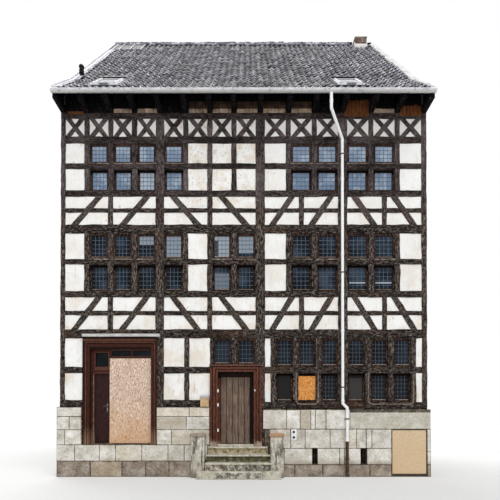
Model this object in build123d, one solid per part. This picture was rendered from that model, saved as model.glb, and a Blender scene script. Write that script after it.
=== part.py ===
"""Half timbered town house in a row, three storeys over a stone plinth under a steep tiled roof.

Millimetres, +Z up, street front towards -Y. Every function works in house coordinates, in which
the street face of the timber frame is y = 0 and the ground is z = 0; save() moves each piece so
that the middle of the house stands over the origin.
"""

import math
import os

from build123d import *

os.makedirs("parts", exist_ok=True)

# Main sizes
WIDTH = 10980  # over the corner posts
DEPTH = 10000  # street face to garden face of the frame
FRAME = 160  # depth of every timber of the two framed walls
PARTY = 240  # party wall thickness
JOINT = 0.4  # gap left in every timber and masonry joint
SEAT = 0.3  # gap between one piece and the piece it rests on

MID = DEPTH / 2
HALF = WIDTH / 2
INNER = HALF - PARTY

# Frame, seen from the street: the five main posts (left x, right x)
CORNERS = (130, 150)  # width of the two corner posts
POSTS = [(-HALF, -HALF + CORNERS[0]), (-2640, -2400), (360, 630), (2835, 3105)]
POSTS += [(HALF - CORNERS[1], HALF)]
LEAN = [1, -1, 1, -1]  # which way the braces of a bay lean, 1 is up to the right
STUD = 142
BRACE = 160  # across the grain
CROSS = 125  # across the grain
BRACE_START, BRACE_END = 0.22, 0.79  # share of the half bay at the ends of a brace

# Heights
GROUND_FLOOR = 960
SILL_LEFT = (2070, 2280)
SILL_RIGHT = (2000, 2220)
GROUND_RAIL = (3090, 3270)
BEAMS = [(4140, 4395), (7290, 7545)]
# bottom, mid rail and top of the bands with braces
BANDS = [(BEAMS[0][1], 4830, 4950, 5370), (BEAMS[1][1], 7920, 8040, 8400)]
RAILS = [[(BANDS[0][3], 5550), (6360, 6510)], [(BANDS[1][3], 8580), (9240, 9400), (10010, 10210)]]
CROSS_BAND = (RAILS[1][2][1], 10755)
PLATE = (CROSS_BAND[1], 10920)
JOIST_TALL = 200
JOISTS = (PLATE[1], PLATE[1] + JOIST_TALL)
BOARD = 30  # floor boards
FLOOR_JOIST = 200

# Infill and windows
PANEL_BACK = 12  # plaster behind the face of the timber
PANEL = 130
GLASS = 6
HIGH_WINDOW = (30, 60, 62)  # set back, depth of the frame, width of the frame
LOW_WINDOW = (80, 60, 62)
# windows of each bay of the first and second storeys, True is a window and False a plaster panel
FIRST_ROW = [[0, 1, 1, 1], [1, 0, 1, 1], [0, 1, 1], [1, 1, 0]]
SECOND_ROW = [[0, 1, 1, 1], [1, 0, 0, 0], [0, 1, 1], [1, 1, 0]]
PANELS = [len(row) for row in FIRST_ROW]  # panels between the main posts

# Stone base
PLINTH_OUT = 60  # in front of the timber
PLINTH_SIDE = 70  # wider than the frame at each end
PLINTH = 450  # thickness
PORTAL = (POSTS[0][1] + 550, POSTS[1][0] + 40)  # outer edges of the left portal
PORTAL_OPENING = (PORTAL[0] + 210, PORTAL[1] - 165)
PORTAL_HEAD = 3810
PORTAL_TOP = 4176
DOORCASE = (-1011, 540)  # outer edges of the frame around the house door
DOOR_OPENING = (-780, 300)
DOOR_HEAD = 3126
DOORCASE_TOP = 3324
STEP_TOP = 893
VENTS = [(2040, 2190, 375, 855), (3480, 3660, 375, 855)]
HATCH = (HALF - 1080, HALF - 50, 75, 1395)
LINTEL = (3165, 1425, 1905)  # left end, bottom, top
CASE_OUT = 45  # door frames in front of the timber

# Steps
RISERS = [213, 443, 665, STEP_TOP]
GOING = 190
STEP_SPANS = [(-1330, 1075), (-1115, 790), (-1080, 780), (-1060, 720)]
CHEEKS = [(-1540, -1120), (760, 1180)]
CHEEK_OUT = 330
CHEEK_TOP = 1200
CAP = 100

# Doors
LEAF = 45
DOOR_SET_BACK = 215
DOOR_LEAF = (-695, 185)
DOOR_LEAF_TOP = 2985
SHOP_LEAF = (PORTAL_OPENING[0] + 120, PORTAL_OPENING[0] + 555)
SHOP_LEAF_TOP = 3070
SHOP_SET_BACK = 95
LEAF_GAP = 8  # around each moving leaf
SWING_GAP = 2  # more at the edge that swings clear
KNOB_UP = 1125  # above the floor
PIN = 6  # radius of a hinge pin
EYE = 10  # radius of the eye around it
PIN_BACK = 16  # from the back of the leaf to the middle of the pin
PINTLE = (30, 48)  # height and length of the arm that carries the pin
STRAP = (225, 12, 40)  # length, thickness and height
HINGE_IN = 300  # from the foot and the head of the leaf
BOARD_OSB = 18

# Roof, measured on top of the tiles
EAVES_OUT = 600
EAVES_UP = 80  # top of the tiles above the joists
EAVES_TOP = JOISTS[1] + EAVES_UP
FLARE_RUN = 1250
FLARE_SLOPE = math.tan(math.radians(46))
ROOF_SLOPE = math.tan(math.radians(50.5))
COVER = 105  # tiles and battens, measured upright
RAFTER = 200  # measured upright
RAFTER_WIDE = 110
PURLIN = (160, 220)
RIDGE_BEAM = 120
SKYLIGHTS = [-4120, 3170]
SKYLIGHT_WIDE = 780
SKYLIGHT_RUN = (300, 1200)  # bottom and top edge, level distance from the eaves
SKYLIGHT_FRAME = 75
SKYLIGHT_UP = 45  # stands above the tiles
VERGE_WIDE = 170
VERGE = 14
CHIMNEY_WIDE = 630
CHIMNEY = (INNER - CHIMNEY_WIDE, INNER - SEAT)
CHIMNEY_DEEP = 600
CHIMNEY_TOP = 18150
FLUE_WALL = 150
VENT_PIPE = (-HALF + 190, 1000, 60, 440)  # x, y, radius, height above the tiles

# Rainwater
GUTTER = 75
GUTTER_WALL = 3
GUTTER_TOP = EAVES_TOP - 120
PIPE = 42
IRON = 4  # the iron foot of the pipe is wider all round
CLIPS = (9600, 6060, 2640)  # heights of the clips of the pipe
IRON_CLIPS = (1700, 500)

BREAK_Y = FLARE_RUN - EAVES_OUT
BREAK_TOP = EAVES_TOP + FLARE_RUN * FLARE_SLOPE
GUTTER_Y = -EAVES_OUT - GUTTER + 25


def box(x0, x1, y0, y1, z0, z1):
    return Solid.make_box(x1 - x0, y1 - y0, z1 - z0, Plane((x0, y0, z0)))


def upright(points, y0, y1):
    """A plate with the outline points (x, z), from y0 to y1."""
    wire = Wire.make_polygon([Vector(x, y0, z) for x, z in points], close=True)
    return Solid.extrude(Face(wire), Vector(0, y1 - y0, 0))


def lengthways(points, x0, x1):
    """A bar with the section points (y, z), from x0 to x1."""
    wire = Wire.make_polygon([Vector(x0, y, z) for y, z in points], close=True)
    return Solid.extrude(Face(wire), Vector(x1 - x0, 0, 0))


def shrunk(points, by=JOINT / 2):
    """The convex outline with each edge moved inwards by half a joint."""
    area = sum(a[0] * b[1] - b[0] * a[1] for a, b in zip(points, points[1:] + points[:1]))
    if area < 0:
        points = points[::-1]
    edges = []
    for (x0, z0), (x1, z1) in zip(points, points[1:] + points[:1]):
        long = math.hypot(x1 - x0, z1 - z0)
        ux, uz = (x1 - x0) / long, (z1 - z0) / long
        edges.append((x0 - uz * by, z0 + ux * by, ux, uz))
    found = []
    for (px, pz, ux, uz), (qx, qz, vx, vz) in zip(edges[-1:] + edges[:-1], edges):
        t = ((qx - px) * vz - (qz - pz) * vx) / (ux * vz - uz * vx)
        found.append((px + ux * t, pz + uz * t))
    return found


def piece(points, y0, y1):
    return upright(shrunk(points), y0, y1)


def block(x0, x1, z0, z1, y0, y1):
    """A timber or panel that fills its place but for half a joint on each side."""
    return piece([(x0, z0), (x1, z0), (x1, z1), (x0, z1)], y0, y1)


def save(name, solids):
    shape = solids[0] if len(solids) == 1 else Compound(solids)
    export_step(shape.moved(Location((0, -MID, 0))), f"parts/{name}.step")


def bays():
    """Left x, right x, panel count and lean of each bay between main posts."""
    return [
        (a[1], b[0], count, lean)
        for a, b, count, lean in zip(POSTS, POSTS[1:], PANELS, LEAN)
    ]


def cells(left, right, count):
    """The clear spaces and the studs of a bay."""
    wide = (right - left - (count - 1) * STUD) / count
    spaces = [(left + i * (wide + STUD), left + i * (wide + STUD) + wide) for i in range(count)]
    studs = [(a[1], b[0]) for a, b in zip(spaces, spaces[1:])]
    return spaces, studs


def frame_lines():
    """Every upright of the cross band: main posts and studs, left to right."""
    lines = list(POSTS)
    for left, right, count, _ in bays():
        lines += cells(left, right, count)[1]
    return sorted(lines)


def tile_top(y):
    """Height of the top of the tiles on the street side."""
    if y <= BREAK_Y:
        return EAVES_TOP + (y + EAVES_OUT) * FLARE_SLOPE
    return BREAK_TOP + (y - BREAK_Y) * ROOF_SLOPE


def both_sides(points):
    """A section and the same section on the garden side."""
    return [points, [(DEPTH - y, z) for y, z in points]]


class Facade:
    """The pieces of the street wall, gathered by kind."""

    def __init__(self):
        self.rails, self.studs, self.braces = [], [], []
        self.panels, self.band_panels = [], []
        self.frames = {"ground": [], "upper": []}
        self.glass, self.boards = [], []

    def timber(self, kind, x0, x1, z0, z1):
        kind.append(block(x0, x1, z0, z1, 0, FRAME))

    def panel(self, kind, points):
        kind.append(piece(points, PANEL_BACK, PANEL_BACK + PANEL))

    def plaster(self, x0, x1, z0, z1):
        self.panel(self.panels, [(x0, z0), (x1, z0), (x1, z1), (x0, z1)])

    def window(self, storey, x0, x1, z0, z1, style, boarded=False):
        back, deep, wide = style
        outer = block(x0, x1, z0, z1, back, back + deep)
        hole = box(x0 + wide, x1 - wide, back - 5, back + deep + 5, z0 + wide, z1 - wide)
        self.frames[storey].append((outer - hole).solids()[0])
        mid, thick = (back + 6, BOARD_OSB) if boarded else (back + deep / 2, GLASS)
        (self.boards if boarded else self.glass).append(
            box(
                x0 + wide + SEAT, x1 - wide - SEAT, mid, mid + thick,
                z0 + wide + SEAT, z1 - wide - SEAT,
            )
        )

    def brace_band(self, left, right, lean, levels):
        """Half bays beside a middle stud, each with one brace across the mid rail."""
        z0, m0, m1, z1 = levels
        centre = (left + right) / 2
        self.timber(self.studs, centre - STUD / 2, centre + STUD / 2, z0, z1)
        for a, b in ((left, centre - STUD / 2), (centre + STUD / 2, right)):
            low = a + (b - a) * (BRACE_START if lean > 0 else 1 - BRACE_START)
            high = a + (b - a) * (BRACE_END if lean > 0 else 1 - BRACE_END)
            half = BRACE / 2 * math.hypot(high - low, z1 - z0) / (z1 - z0)

            def edge(z, side, low=low, high=high, half=half):
                return low + (high - low) * (z - z0) / (z1 - z0) + side * half

            self.braces.append(
                piece(
                    [(low - half, z0), (low + half, z0), (high + half, z1), (high - half, z1)],
                    0, FRAME,
                )
            )
            for bottom, top in ((z0, m0), (m1, z1)):
                self.panel(
                    self.band_panels,
                    [(a, bottom), (edge(bottom, -1), bottom), (edge(top, -1), top), (a, top)],
                )
                self.panel(
                    self.band_panels,
                    [(edge(bottom, 1), bottom), (b, bottom), (b, top), (edge(top, 1), top)],
                )
            self.rails.append(
                piece([(a, m0), (edge(m0, -1), m0), (edge(m1, -1), m1), (a, m1)], 0, FRAME)
            )
            self.rails.append(
                piece([(edge(m0, 1), m0), (b, m0), (b, m1), (edge(m1, 1), m1)], 0, FRAME)
            )

    def crossing(self, a, b, z0, z1):
        """One panel of the cross band: a whole strut, a halved strut and four plaster panels."""
        tall, wide = z1 - z0, b - a
        strut = CROSS
        for _ in range(20):
            strut = CROSS * math.hypot(wide - strut, tall) / tall
        share = (wide - 2 * strut) / (2 * (wide - strut))
        middle, centre = (z0 + z1) / 2, (a + b) / 2
        foot, head = (centre, z0 + share * tall), (centre, z1 - share * tall)
        left, right = (centre - strut / 2, middle), (centre + strut / 2, middle)
        self.braces.append(
            piece([(a, z0), (a + strut, z0), (b, z1), (b - strut, z1)], 0, FRAME)
        )
        self.braces.append(piece([(b - strut, z0), (b, z0), right, foot], 0, FRAME))
        self.braces.append(piece([(a + strut, z1), (a, z1), left, head], 0, FRAME))
        for points in (
            [(a, z0), left, (a, z1)],
            [(b, z0), (b, z1), right],
            [(a + strut, z0), (b - strut, z0), foot],
            [(a + strut, z1), head, (b - strut, z1)],
        ):
            self.panel(self.band_panels, points)

    def rows(self, left, right, count, pattern, levels):
        """Two rows of windows and plaster panels between studs."""
        spaces, studs = cells(left, right, count)
        for (z0, z1), style in zip(levels, (LOW_WINDOW, HIGH_WINDOW)):
            for a, b in studs:
                self.timber(self.studs, a, b, z0, z1)
            for (a, b), glazed in zip(spaces, pattern):
                if glazed:
                    self.window("upper", a, b, z0, z1, style)
                else:
                    self.plaster(a, b, z0, z1)

    def upper_storeys(self):
        for i, pattern in enumerate((FIRST_ROW, SECOND_ROW)):
            low = [RAILS[i][0][1], RAILS[i][1][0]]
            high = [RAILS[i][1][1], RAILS[i][2][0] if i else BEAMS[1][0]]
            for bay, (left, right, count, lean) in enumerate(bays()):
                self.brace_band(left, right, lean, BANDS[i])
                self.rows(left, right, count, pattern[bay], (low, high))
                for z0, z1 in RAILS[i]:
                    self.timber(self.rails, left, right, z0, z1)
        for left, right, count, _ in bays():
            spaces, studs = cells(left, right, count)
            for a, b in studs:
                self.timber(self.studs, a, b, *CROSS_BAND)
            for a, b in spaces:
                self.crossing(a, b, *CROSS_BAND)

    def ground_storey(self):
        top = BEAMS[0][0]
        low, high = (SILL_LEFT[1], GROUND_RAIL[0]), (GROUND_RAIL[1], top)
        # narrow strip left of the portal
        left, right = POSTS[0][1], PORTAL[0]
        self.timber(self.rails, left, right, *GROUND_RAIL)
        for z0, z1 in (low, high):
            self.plaster(left, right, z0, z1)
        # two panels between the portal post and the house door
        left, right = POSTS[1][1], DOORCASE[0]
        middle = (left + right - STUD) / 2
        self.timber(self.rails, left, right, *GROUND_RAIL)
        for z0, z1 in (low, high):
            self.timber(self.studs, middle, middle + STUD, z0, z1)
            self.plaster(left, middle, z0, z1)
            self.plaster(middle + STUD, right, z0, z1)
        # two windows over the door
        left, right = DOORCASE[0], POSTS[2][0]
        edge = 80
        self.timber(self.studs, left, left + edge, DOORCASE_TOP, top)
        wide = (right - left - edge - STUD) / 2
        centre = left + edge + wide
        self.timber(self.studs, centre, centre + STUD, DOORCASE_TOP, top)
        self.window("ground", left + edge, centre, DOORCASE_TOP, top, HIGH_WINDOW)
        self.window("ground", centre + STUD, right, DOORCASE_TOP, top, HIGH_WINDOW)
        # six windows between narrow plaster strips on the right
        low = (SILL_RIGHT[1], GROUND_RAIL[0])
        strip = 180
        for side, (left, right, _, _) in zip((-1, 1), bays()[2:]):
            self.timber(self.rails, left, right, *GROUND_RAIL)
            inner = (left + strip + STUD, right) if side < 0 else (left, right - strip - STUD)
            edge = (left, left + strip) if side < 0 else (right - strip, right)
            post = (left + strip, inner[0]) if side < 0 else (inner[1], right - strip)
            spaces, studs = cells(inner[0], inner[1], 3)
            for (z0, z1), style in ((low, LOW_WINDOW), (high, HIGH_WINDOW)):
                self.plaster(*edge, z0, z1)
                for a, b in studs + [post]:
                    self.timber(self.studs, a, b, z0, z1)
                for i, (a, b) in enumerate(spaces):
                    boarded = side < 0 and i == 1 and style is LOW_WINDOW
                    self.window("ground", a, b, z0, z1, style, boarded)


def main_posts():
    solids = []
    feet = [SILL_LEFT[1], SILL_LEFT[0], STEP_TOP, SILL_RIGHT[1], SILL_RIGHT[1]]
    for (a, b), foot in zip(POSTS, feet):
        solids.append(block(a, b, foot, PLATE[0], 0, FRAME))
    return solids


def beams():
    """Ground sills, floor beams between the posts, and the plate over them."""
    solids = [
        block(POSTS[0][0], PORTAL[0], *SILL_LEFT, 0, FRAME),
        block(POSTS[1][1], DOORCASE[0], *SILL_LEFT, 0, FRAME),
        block(POSTS[2][1], POSTS[4][1], *SILL_RIGHT, 0, FRAME),
        block(-HALF, HALF, *PLATE, 0, FRAME),
    ]
    for z0, z1 in BEAMS:
        for left, right, _, _ in bays():
            solids.append(block(left, right, z0, z1, 0, FRAME))
    return solids


def plinth_front():
    """Ashlar slabs under the frame, left open for the portals, the vents and the hatch."""
    y0, y1 = -PLINTH_OUT, PLINTH - PLINTH_OUT
    end = HALF + PLINTH_SIDE
    high = SILL_RIGHT[0]
    raised = [(-end, PORTAL[0]), (PORTAL[1], DOORCASE[0])]
    slabs = [(a, b, 0, high) for a, b in raised]
    slabs += [(*PORTAL, 0, GROUND_FLOOR), (DOORCASE[0], POSTS[2][1], 0, STEP_TOP)]
    x = POSTS[2][1]
    for a, b, z0, z1 in VENTS:
        slabs += [(x, a, 0, high), (a, b, 0, z0), (a, b, z1, high)]
        x = b
    lintel, z0, z1 = LINTEL
    found = []
    for a, b, bottom, top in slabs:
        if b > lintel and top > z0:
            found += [(a, lintel, bottom, top)] if a < lintel else []
            a = max(a, lintel)
            found += [(a, b, bottom, z0), (a, b, z1, top)]
        else:
            found.append((a, b, bottom, top))
    a, b, bottom, top = HATCH
    found += [(x, a, 0, z0), (x, end, z1, high)]
    found += [(a, b, 0, bottom), (a, b, top, z0), (b, end, 0, z0)]
    copings = [block(a, b, high, SILL_LEFT[0], y0, FRAME) for a, b in raised]
    return [block(*slab, y0, y1) for slab in found] + copings


def cellar_lintel():
    x, z0, z1 = LINTEL
    return [block(x, HALF + PLINTH_SIDE, z0, z1, -PLINTH_OUT - 6, PLINTH - PLINTH_OUT)]


def cellar_hatch():
    a, b, z0, z1 = HATCH
    edge = 60
    ring = block(a, b, z0, z1, 20, 110)
    ring = (ring - box(a + edge, b - edge, 0, 130, z0 + edge, z1 - edge)).solids()
    board = box(
        a + edge + SEAT, b - edge - SEAT, 45, 45 + BOARD_OSB, z0 + edge + SEAT, z1 - edge - SEAT
    )
    return ring, [board]


def rear_wall():
    """Garden side: the same storeys with plain studs, one window row in each storey."""
    timbers, panels, frames, glass = [], [], [], []
    y0, y1 = DEPTH - FRAME, DEPTH
    floors = [(SILL_RIGHT[0], SILL_RIGHT[1], BEAMS[0][0])]
    floors += [(BEAMS[0][0], BEAMS[0][1], BEAMS[1][0]), (BEAMS[1][0], BEAMS[1][1], PLATE[0])]
    for a, b in POSTS:
        timbers.append(block(a, b, SILL_RIGHT[1], PLATE[0], y0, y1))
    timbers.append(block(-HALF, HALF, *SILL_RIGHT, y0, y1))
    timbers.append(block(-HALF, HALF, *PLATE, y0, y1))
    for storey, (beam0, beam1, top) in enumerate(floors):
        sill = beam1 + (360 if storey == 0 else 900)
        for left, right, count, _ in bays():
            if storey:
                timbers.append(block(left, right, beam0, beam1, y0, y1))
            timbers.append(block(left, right, sill, sill + STUD, y0, y1))
            spaces, studs = cells(left, right, count)
            for a, b in studs:
                timbers.append(block(a, b, beam1, sill, y0, y1))
                timbers.append(block(a, b, sill + STUD, top, y0, y1))
            for i, (a, b) in enumerate(spaces):
                panels.append(block(a, b, beam1, sill, y1 - PANEL_BACK - PANEL, y1 - PANEL_BACK))
                z0 = sill + STUD
                if i % 2 == 0:
                    panels.append(
                        block(a, b, z0, top, y1 - PANEL_BACK - PANEL, y1 - PANEL_BACK)
                    )
                    continue
                back, deep, wide = HIGH_WINDOW
                ring = block(a, b, z0, top, y1 - back - deep, y1 - back)
                hole = box(a + wide, b - wide, y0, y1, z0 + wide, top - wide)
                frames.append((ring - hole).solids()[0])
                mid = y1 - back - deep / 2
                glass.append(
                    box(
                        a + wide + SEAT, b - wide - SEAT, mid, mid + GLASS,
                        z0 + wide + SEAT, top - wide - SEAT,
                    )
                )
    return timbers, panels, frames, glass


def party_wall(x0, x1):
    """Plain masonry from the ground to the underside of the tiles."""
    inner = PLINTH - PLINTH_OUT + SEAT
    base = box(x0, x1, inner, DEPTH - inner, 0, SILL_RIGHT[0] - JOINT)
    y = FRAME + SEAT
    eaves = BREAK_TOP - (BREAK_Y - y) * ROOF_SLOPE - COVER - SEAT
    ridge = tile_top(MID) - COVER - SEAT
    outline = [(y, SILL_RIGHT[0]), (y, eaves), (MID, ridge)]
    outline += [(DEPTH - y, eaves), (DEPTH - y, SILL_RIGHT[0])]
    return [base, lengthways(outline, x0, x1)]


def framed_case(outer, opening, head, top, foot, behind):
    """A mitred moulded frame in front of the wall and a lining through it."""
    y0, y1 = -CASE_OUT, -SEAT
    (a, d), (b, c) = outer, opening
    solids = [
        piece([(a, foot), (b, foot), (b, head), (a, top)], y0, y1),
        piece([(c, foot), (d, foot), (d, top), (c, head)], y0, y1),
        piece([(b, head), (c, head), (d, top), (a, top)], y0, y1),
    ]
    left, right, over = behind
    solids += [
        block(left, b, foot, head, 0, FRAME),
        block(c, right, foot, head, 0, FRAME),
        block(left, right, head, over, 0, FRAME),
    ]
    return solids


def hinges(edge, back, side, foot, top):
    """Two pintles on the frame, and two straps with the bores of their eyes on the leaf.

    The leaf hangs on its edge, with the frame on the given side of it and its back at y = back.
    """
    x, y = edge + side * LEAF_GAP / 2, back + PIN_BACK
    tall, long = PINTLE
    reach, thick, high = STRAP

    def bar(near, far, y0, y1, z0, z1):
        return box(*sorted((edge + side * near, edge + side * far)), y0, y1, z0, z1)

    def drum(radius, z0, z1):
        return Solid.make_cylinder(radius, z1 - z0, Plane((x, y, z0)))

    pintles, straps, bores = [], [], []
    near = LEAF_GAP / 2 + 1
    for z in (foot + HINGE_IN, top - HINGE_IN - high):
        arm = bar(near, near + long, back + SEAT, y + EYE - 2, z - tall, z - 1)
        pintles.append(arm + drum(EYE, z - tall, z - 1) + drum(PIN, z - tall, z + high + 4))
        straps.append(bar(-reach, 0, back, back + thick, z, z + high) + drum(EYE, z, z + high))
        bores.append(drum(PIN + SEAT, z - 1, z + high + 1))
    return pintles, straps, bores


def hung(leaf, straps, bores):
    """The leaf with its straps, open at the eyes."""
    for strap in straps:
        leaf = leaf + strap
    for bore in bores:
        leaf = leaf - bore
    return leaf.solids()[0]


def portal():
    """The left portal: case, cornice, posts and rails of the door, glass, board and leaf."""
    a, b = PORTAL_OPENING
    foot = GROUND_FLOOR
    case = framed_case(
        PORTAL, PORTAL_OPENING, PORTAL_HEAD, PORTAL_TOP, foot,
        (PORTAL[0], POSTS[1][0], BEAMS[0][0]),
    )
    cornice = [
        lengthways(
            [(-SEAT, PORTAL_TOP), (-95, PORTAL_TOP), (-120, PORTAL_TOP + 55),
             (-120, PORTAL_TOP + 82), (-SEAT, PORTAL_TOP + 92)],
            PORTAL[0] - 80, PORTAL[1] + 100,
        )
    ]
    y0, y1 = 60, 60 + 80
    left, right = SHOP_LEAF[0] - LEAF_GAP, SHOP_LEAF[1] + LEAF_GAP + SWING_GAP
    post = 80
    rail = SHOP_LEAF_TOP + LEAF_GAP
    case += [
        block(a, left, foot, PORTAL_HEAD, y0, y1),
        block(right, right + post, foot, PORTAL_HEAD, y0, y1),
        block(left, right, rail, rail + 110, y0, y1),
        block(left, right, PORTAL_HEAD - 70, PORTAL_HEAD, y0, y1),
    ]
    strip = 3590
    case.append(block(right + post, b, strip - 60, strip, y0, y1))
    middle = (right + post + b) / 2
    case.append(block(middle - 30, middle + 30, strip, PORTAL_HEAD, y0, y1))
    mid = (y0 + y1) / 2
    glass = [
        box(left + SEAT, right - SEAT, mid, mid + GLASS,
            rail + 110 + SEAT, PORTAL_HEAD - 70 - SEAT),
        box(right + post + SEAT, middle - 30 - SEAT, mid, mid + GLASS,
            strip + SEAT, PORTAL_HEAD - SEAT),
        box(middle + 30 + SEAT, b - SEAT, mid, mid + GLASS, strip + SEAT, PORTAL_HEAD - SEAT),
    ]
    board = box(
        right + 12, b - 12, y0 - SEAT - BOARD_OSB, y0 - SEAT, foot + 25, strip - 25
    )
    low, back = foot + 2 * LEAF_GAP, SHOP_SET_BACK + LEAF
    leaf = box(*SHOP_LEAF, SHOP_SET_BACK, back, low, SHOP_LEAF_TOP)
    pintles, straps, bores = hinges(SHOP_LEAF[0], back, -1, low, SHOP_LEAF_TOP)
    knob = Cylinder(11, 90, rotation=(90, 0, 0)).moved(
        Location((SHOP_LEAF[1] - 55, SHOP_SET_BACK - 44, foot + KNOB_UP))
    )
    return case + pintles, cornice, glass, board, [hung(leaf + knob, straps, bores)]


def entrance():
    """The house door: case, inner frame, threshold and planked leaf."""
    case = framed_case(
        DOORCASE, DOOR_OPENING, DOOR_HEAD, DOORCASE_TOP, STEP_TOP,
        (DOORCASE[0], POSTS[2][0], DOORCASE_TOP),
    )
    left, right = DOOR_LEAF[0] - LEAF_GAP - SWING_GAP, DOOR_LEAF[1] + LEAF_GAP
    y0, y1 = FRAME + SEAT, DOOR_SET_BACK + LEAF
    head = DOOR_LEAF_TOP + LEAF_GAP
    case += [
        block(DOOR_OPENING[0] - 40, left, GROUND_FLOOR, head, y0, y1),
        block(right, DOOR_OPENING[1] + 40, GROUND_FLOOR, head, y0, y1),
        block(DOOR_OPENING[0] - 40, DOOR_OPENING[1] + 40, head, DOOR_HEAD + 60, y0, y1),
    ]
    low, back = GROUND_FLOOR + LEAF_GAP + 4, DOOR_SET_BACK + LEAF
    leaf = box(*DOOR_LEAF, DOOR_SET_BACK, back, low, DOOR_LEAF_TOP)
    pintles, straps, bores = hinges(DOOR_LEAF[1], back, 1, low, DOOR_LEAF_TOP)
    knob = Cylinder(24, 60, rotation=(90, 0, 0)).moved(
        Location((DOOR_LEAF[0] + 80, DOOR_SET_BACK - 29, GROUND_FLOOR + 1040))
    )
    return case + pintles, [hung(leaf + knob, straps, bores)]


def steps():
    """Four stone treads laid on each other and the door's threshold stone."""
    back = -PLINTH_OUT - SEAT
    solids = []
    below = 0
    for i, (top, (a, b)) in enumerate(zip(RISERS, STEP_SPANS)):
        front = -PLINTH_OUT - GOING * (len(RISERS) - i) + 130
        solids.append(box(a, b, front, back, below + (SEAT if i else 0), top))
        below = top
    solids.append(
        box(
            DOOR_OPENING[0] + SEAT, DOOR_OPENING[1] - SEAT, -PLINTH_OUT, PLINTH - PLINTH_OUT,
            STEP_TOP + SEAT, GROUND_FLOOR - SEAT,
        )
    )
    return solids


def cheeks():
    """Stone piers beside the steps with rounded caps."""
    solids = []
    for (a, b), inner in zip(CHEEKS, (1, -1)):
        y0, y1 = -PLINTH_OUT - CHEEK_OUT, -PLINTH_OUT - SEAT
        pier = box(a, b, y0, y1, 0, CHEEK_TOP)
        half = (b - a) / 2 + 15
        arc = [
            (half * math.cos(math.radians(t)), CAP * math.sin(math.radians(t)))
            for t in range(0, 181, 20)
        ]
        cap = upright([((a + b) / 2 + x, CHEEK_TOP + z) for x, z in arc], y0 - 15, y1)
        for (s0, s1), top in zip(STEP_SPANS, RISERS):
            low, high = max(a - 30, s0 - SEAT), min(b + 30, s1 + SEAT)
            if low < high:
                below = 0 if top == RISERS[0] else RISERS[RISERS.index(top) - 1]
                pier = pier - box(low, high, y0 - 99, 0, below, top + SEAT)
        solids.append((pier + cap).solids()[0])
    return solids


def floor_boards():
    """Boarded floors of the three storeys and the attic."""
    inner = PLINTH - PLINTH_OUT + JOINT
    x = INNER - SEAT
    solids = [box(-x, x, inner, DEPTH - inner, GROUND_FLOOR - BOARD, GROUND_FLOOR)]
    for _, top in BEAMS + [JOISTS]:
        y = FRAME + JOINT
        solids.append(box(-x, x, y, DEPTH - y, top + SEAT, top + BOARD))
    return solids


def floor_joists():
    """Joists under the boards, from the street wall to the garden wall."""
    solids = []
    inner = PLINTH - PLINTH_OUT + JOINT
    places = [(GROUND_FLOOR - BOARD, inner)] + [(top, FRAME + JOINT) for _, top in BEAMS]
    for top, y in places:
        for i in range(12):
            x = -INNER + 300 + i * (2 * INNER - 600) / 11
            z1 = top - SEAT if top == places[0][0] else top
            solids.append(box(x - 60, x + 60, y, DEPTH - y, z1 - FLOOR_JOIST, z1))
    return solids


def attic_joists():
    """Joists over every post and stud, run out in front of both walls to carry the eaves."""
    solids = []
    out = -GUTTER_Y - GUTTER - SEAT
    z0, z1 = JOISTS[0] + SEAT, JOISTS[1]
    for a, b in frame_lines():
        mid = (a + b) / 2
        x0, x1 = mid - STUD / 2, mid + STUD / 2
        if abs(mid) > INNER:
            x0, x1 = (a, b)
            solids.append(box(x0, x1, -out, FRAME, z0, z1))
            solids.append(box(x0, x1, DEPTH - FRAME, DEPTH + out, z0, z1))
        else:
            solids.append(box(x0, x1, -out, DEPTH + out, z0, z1))
    return solids


def eaves_infill():
    """Masonry blocks between the joists over both plates."""
    lines = []
    for a, b in frame_lines():
        mid = (a + b) / 2
        lines.append((a, b) if abs(mid) > INNER else (mid - STUD / 2, mid + STUD / 2))
    solids = []
    for (_, x0), (x1, _) in zip(lines, lines[1:]):
        for y0 in (20, DEPTH - 20 - 120):
            solids.append(
                box(x0 + SEAT, x1 - SEAT, y0, y0 + 120, JOISTS[0] + SEAT, JOISTS[1] - JOINT)
            )
    return solids


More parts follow.
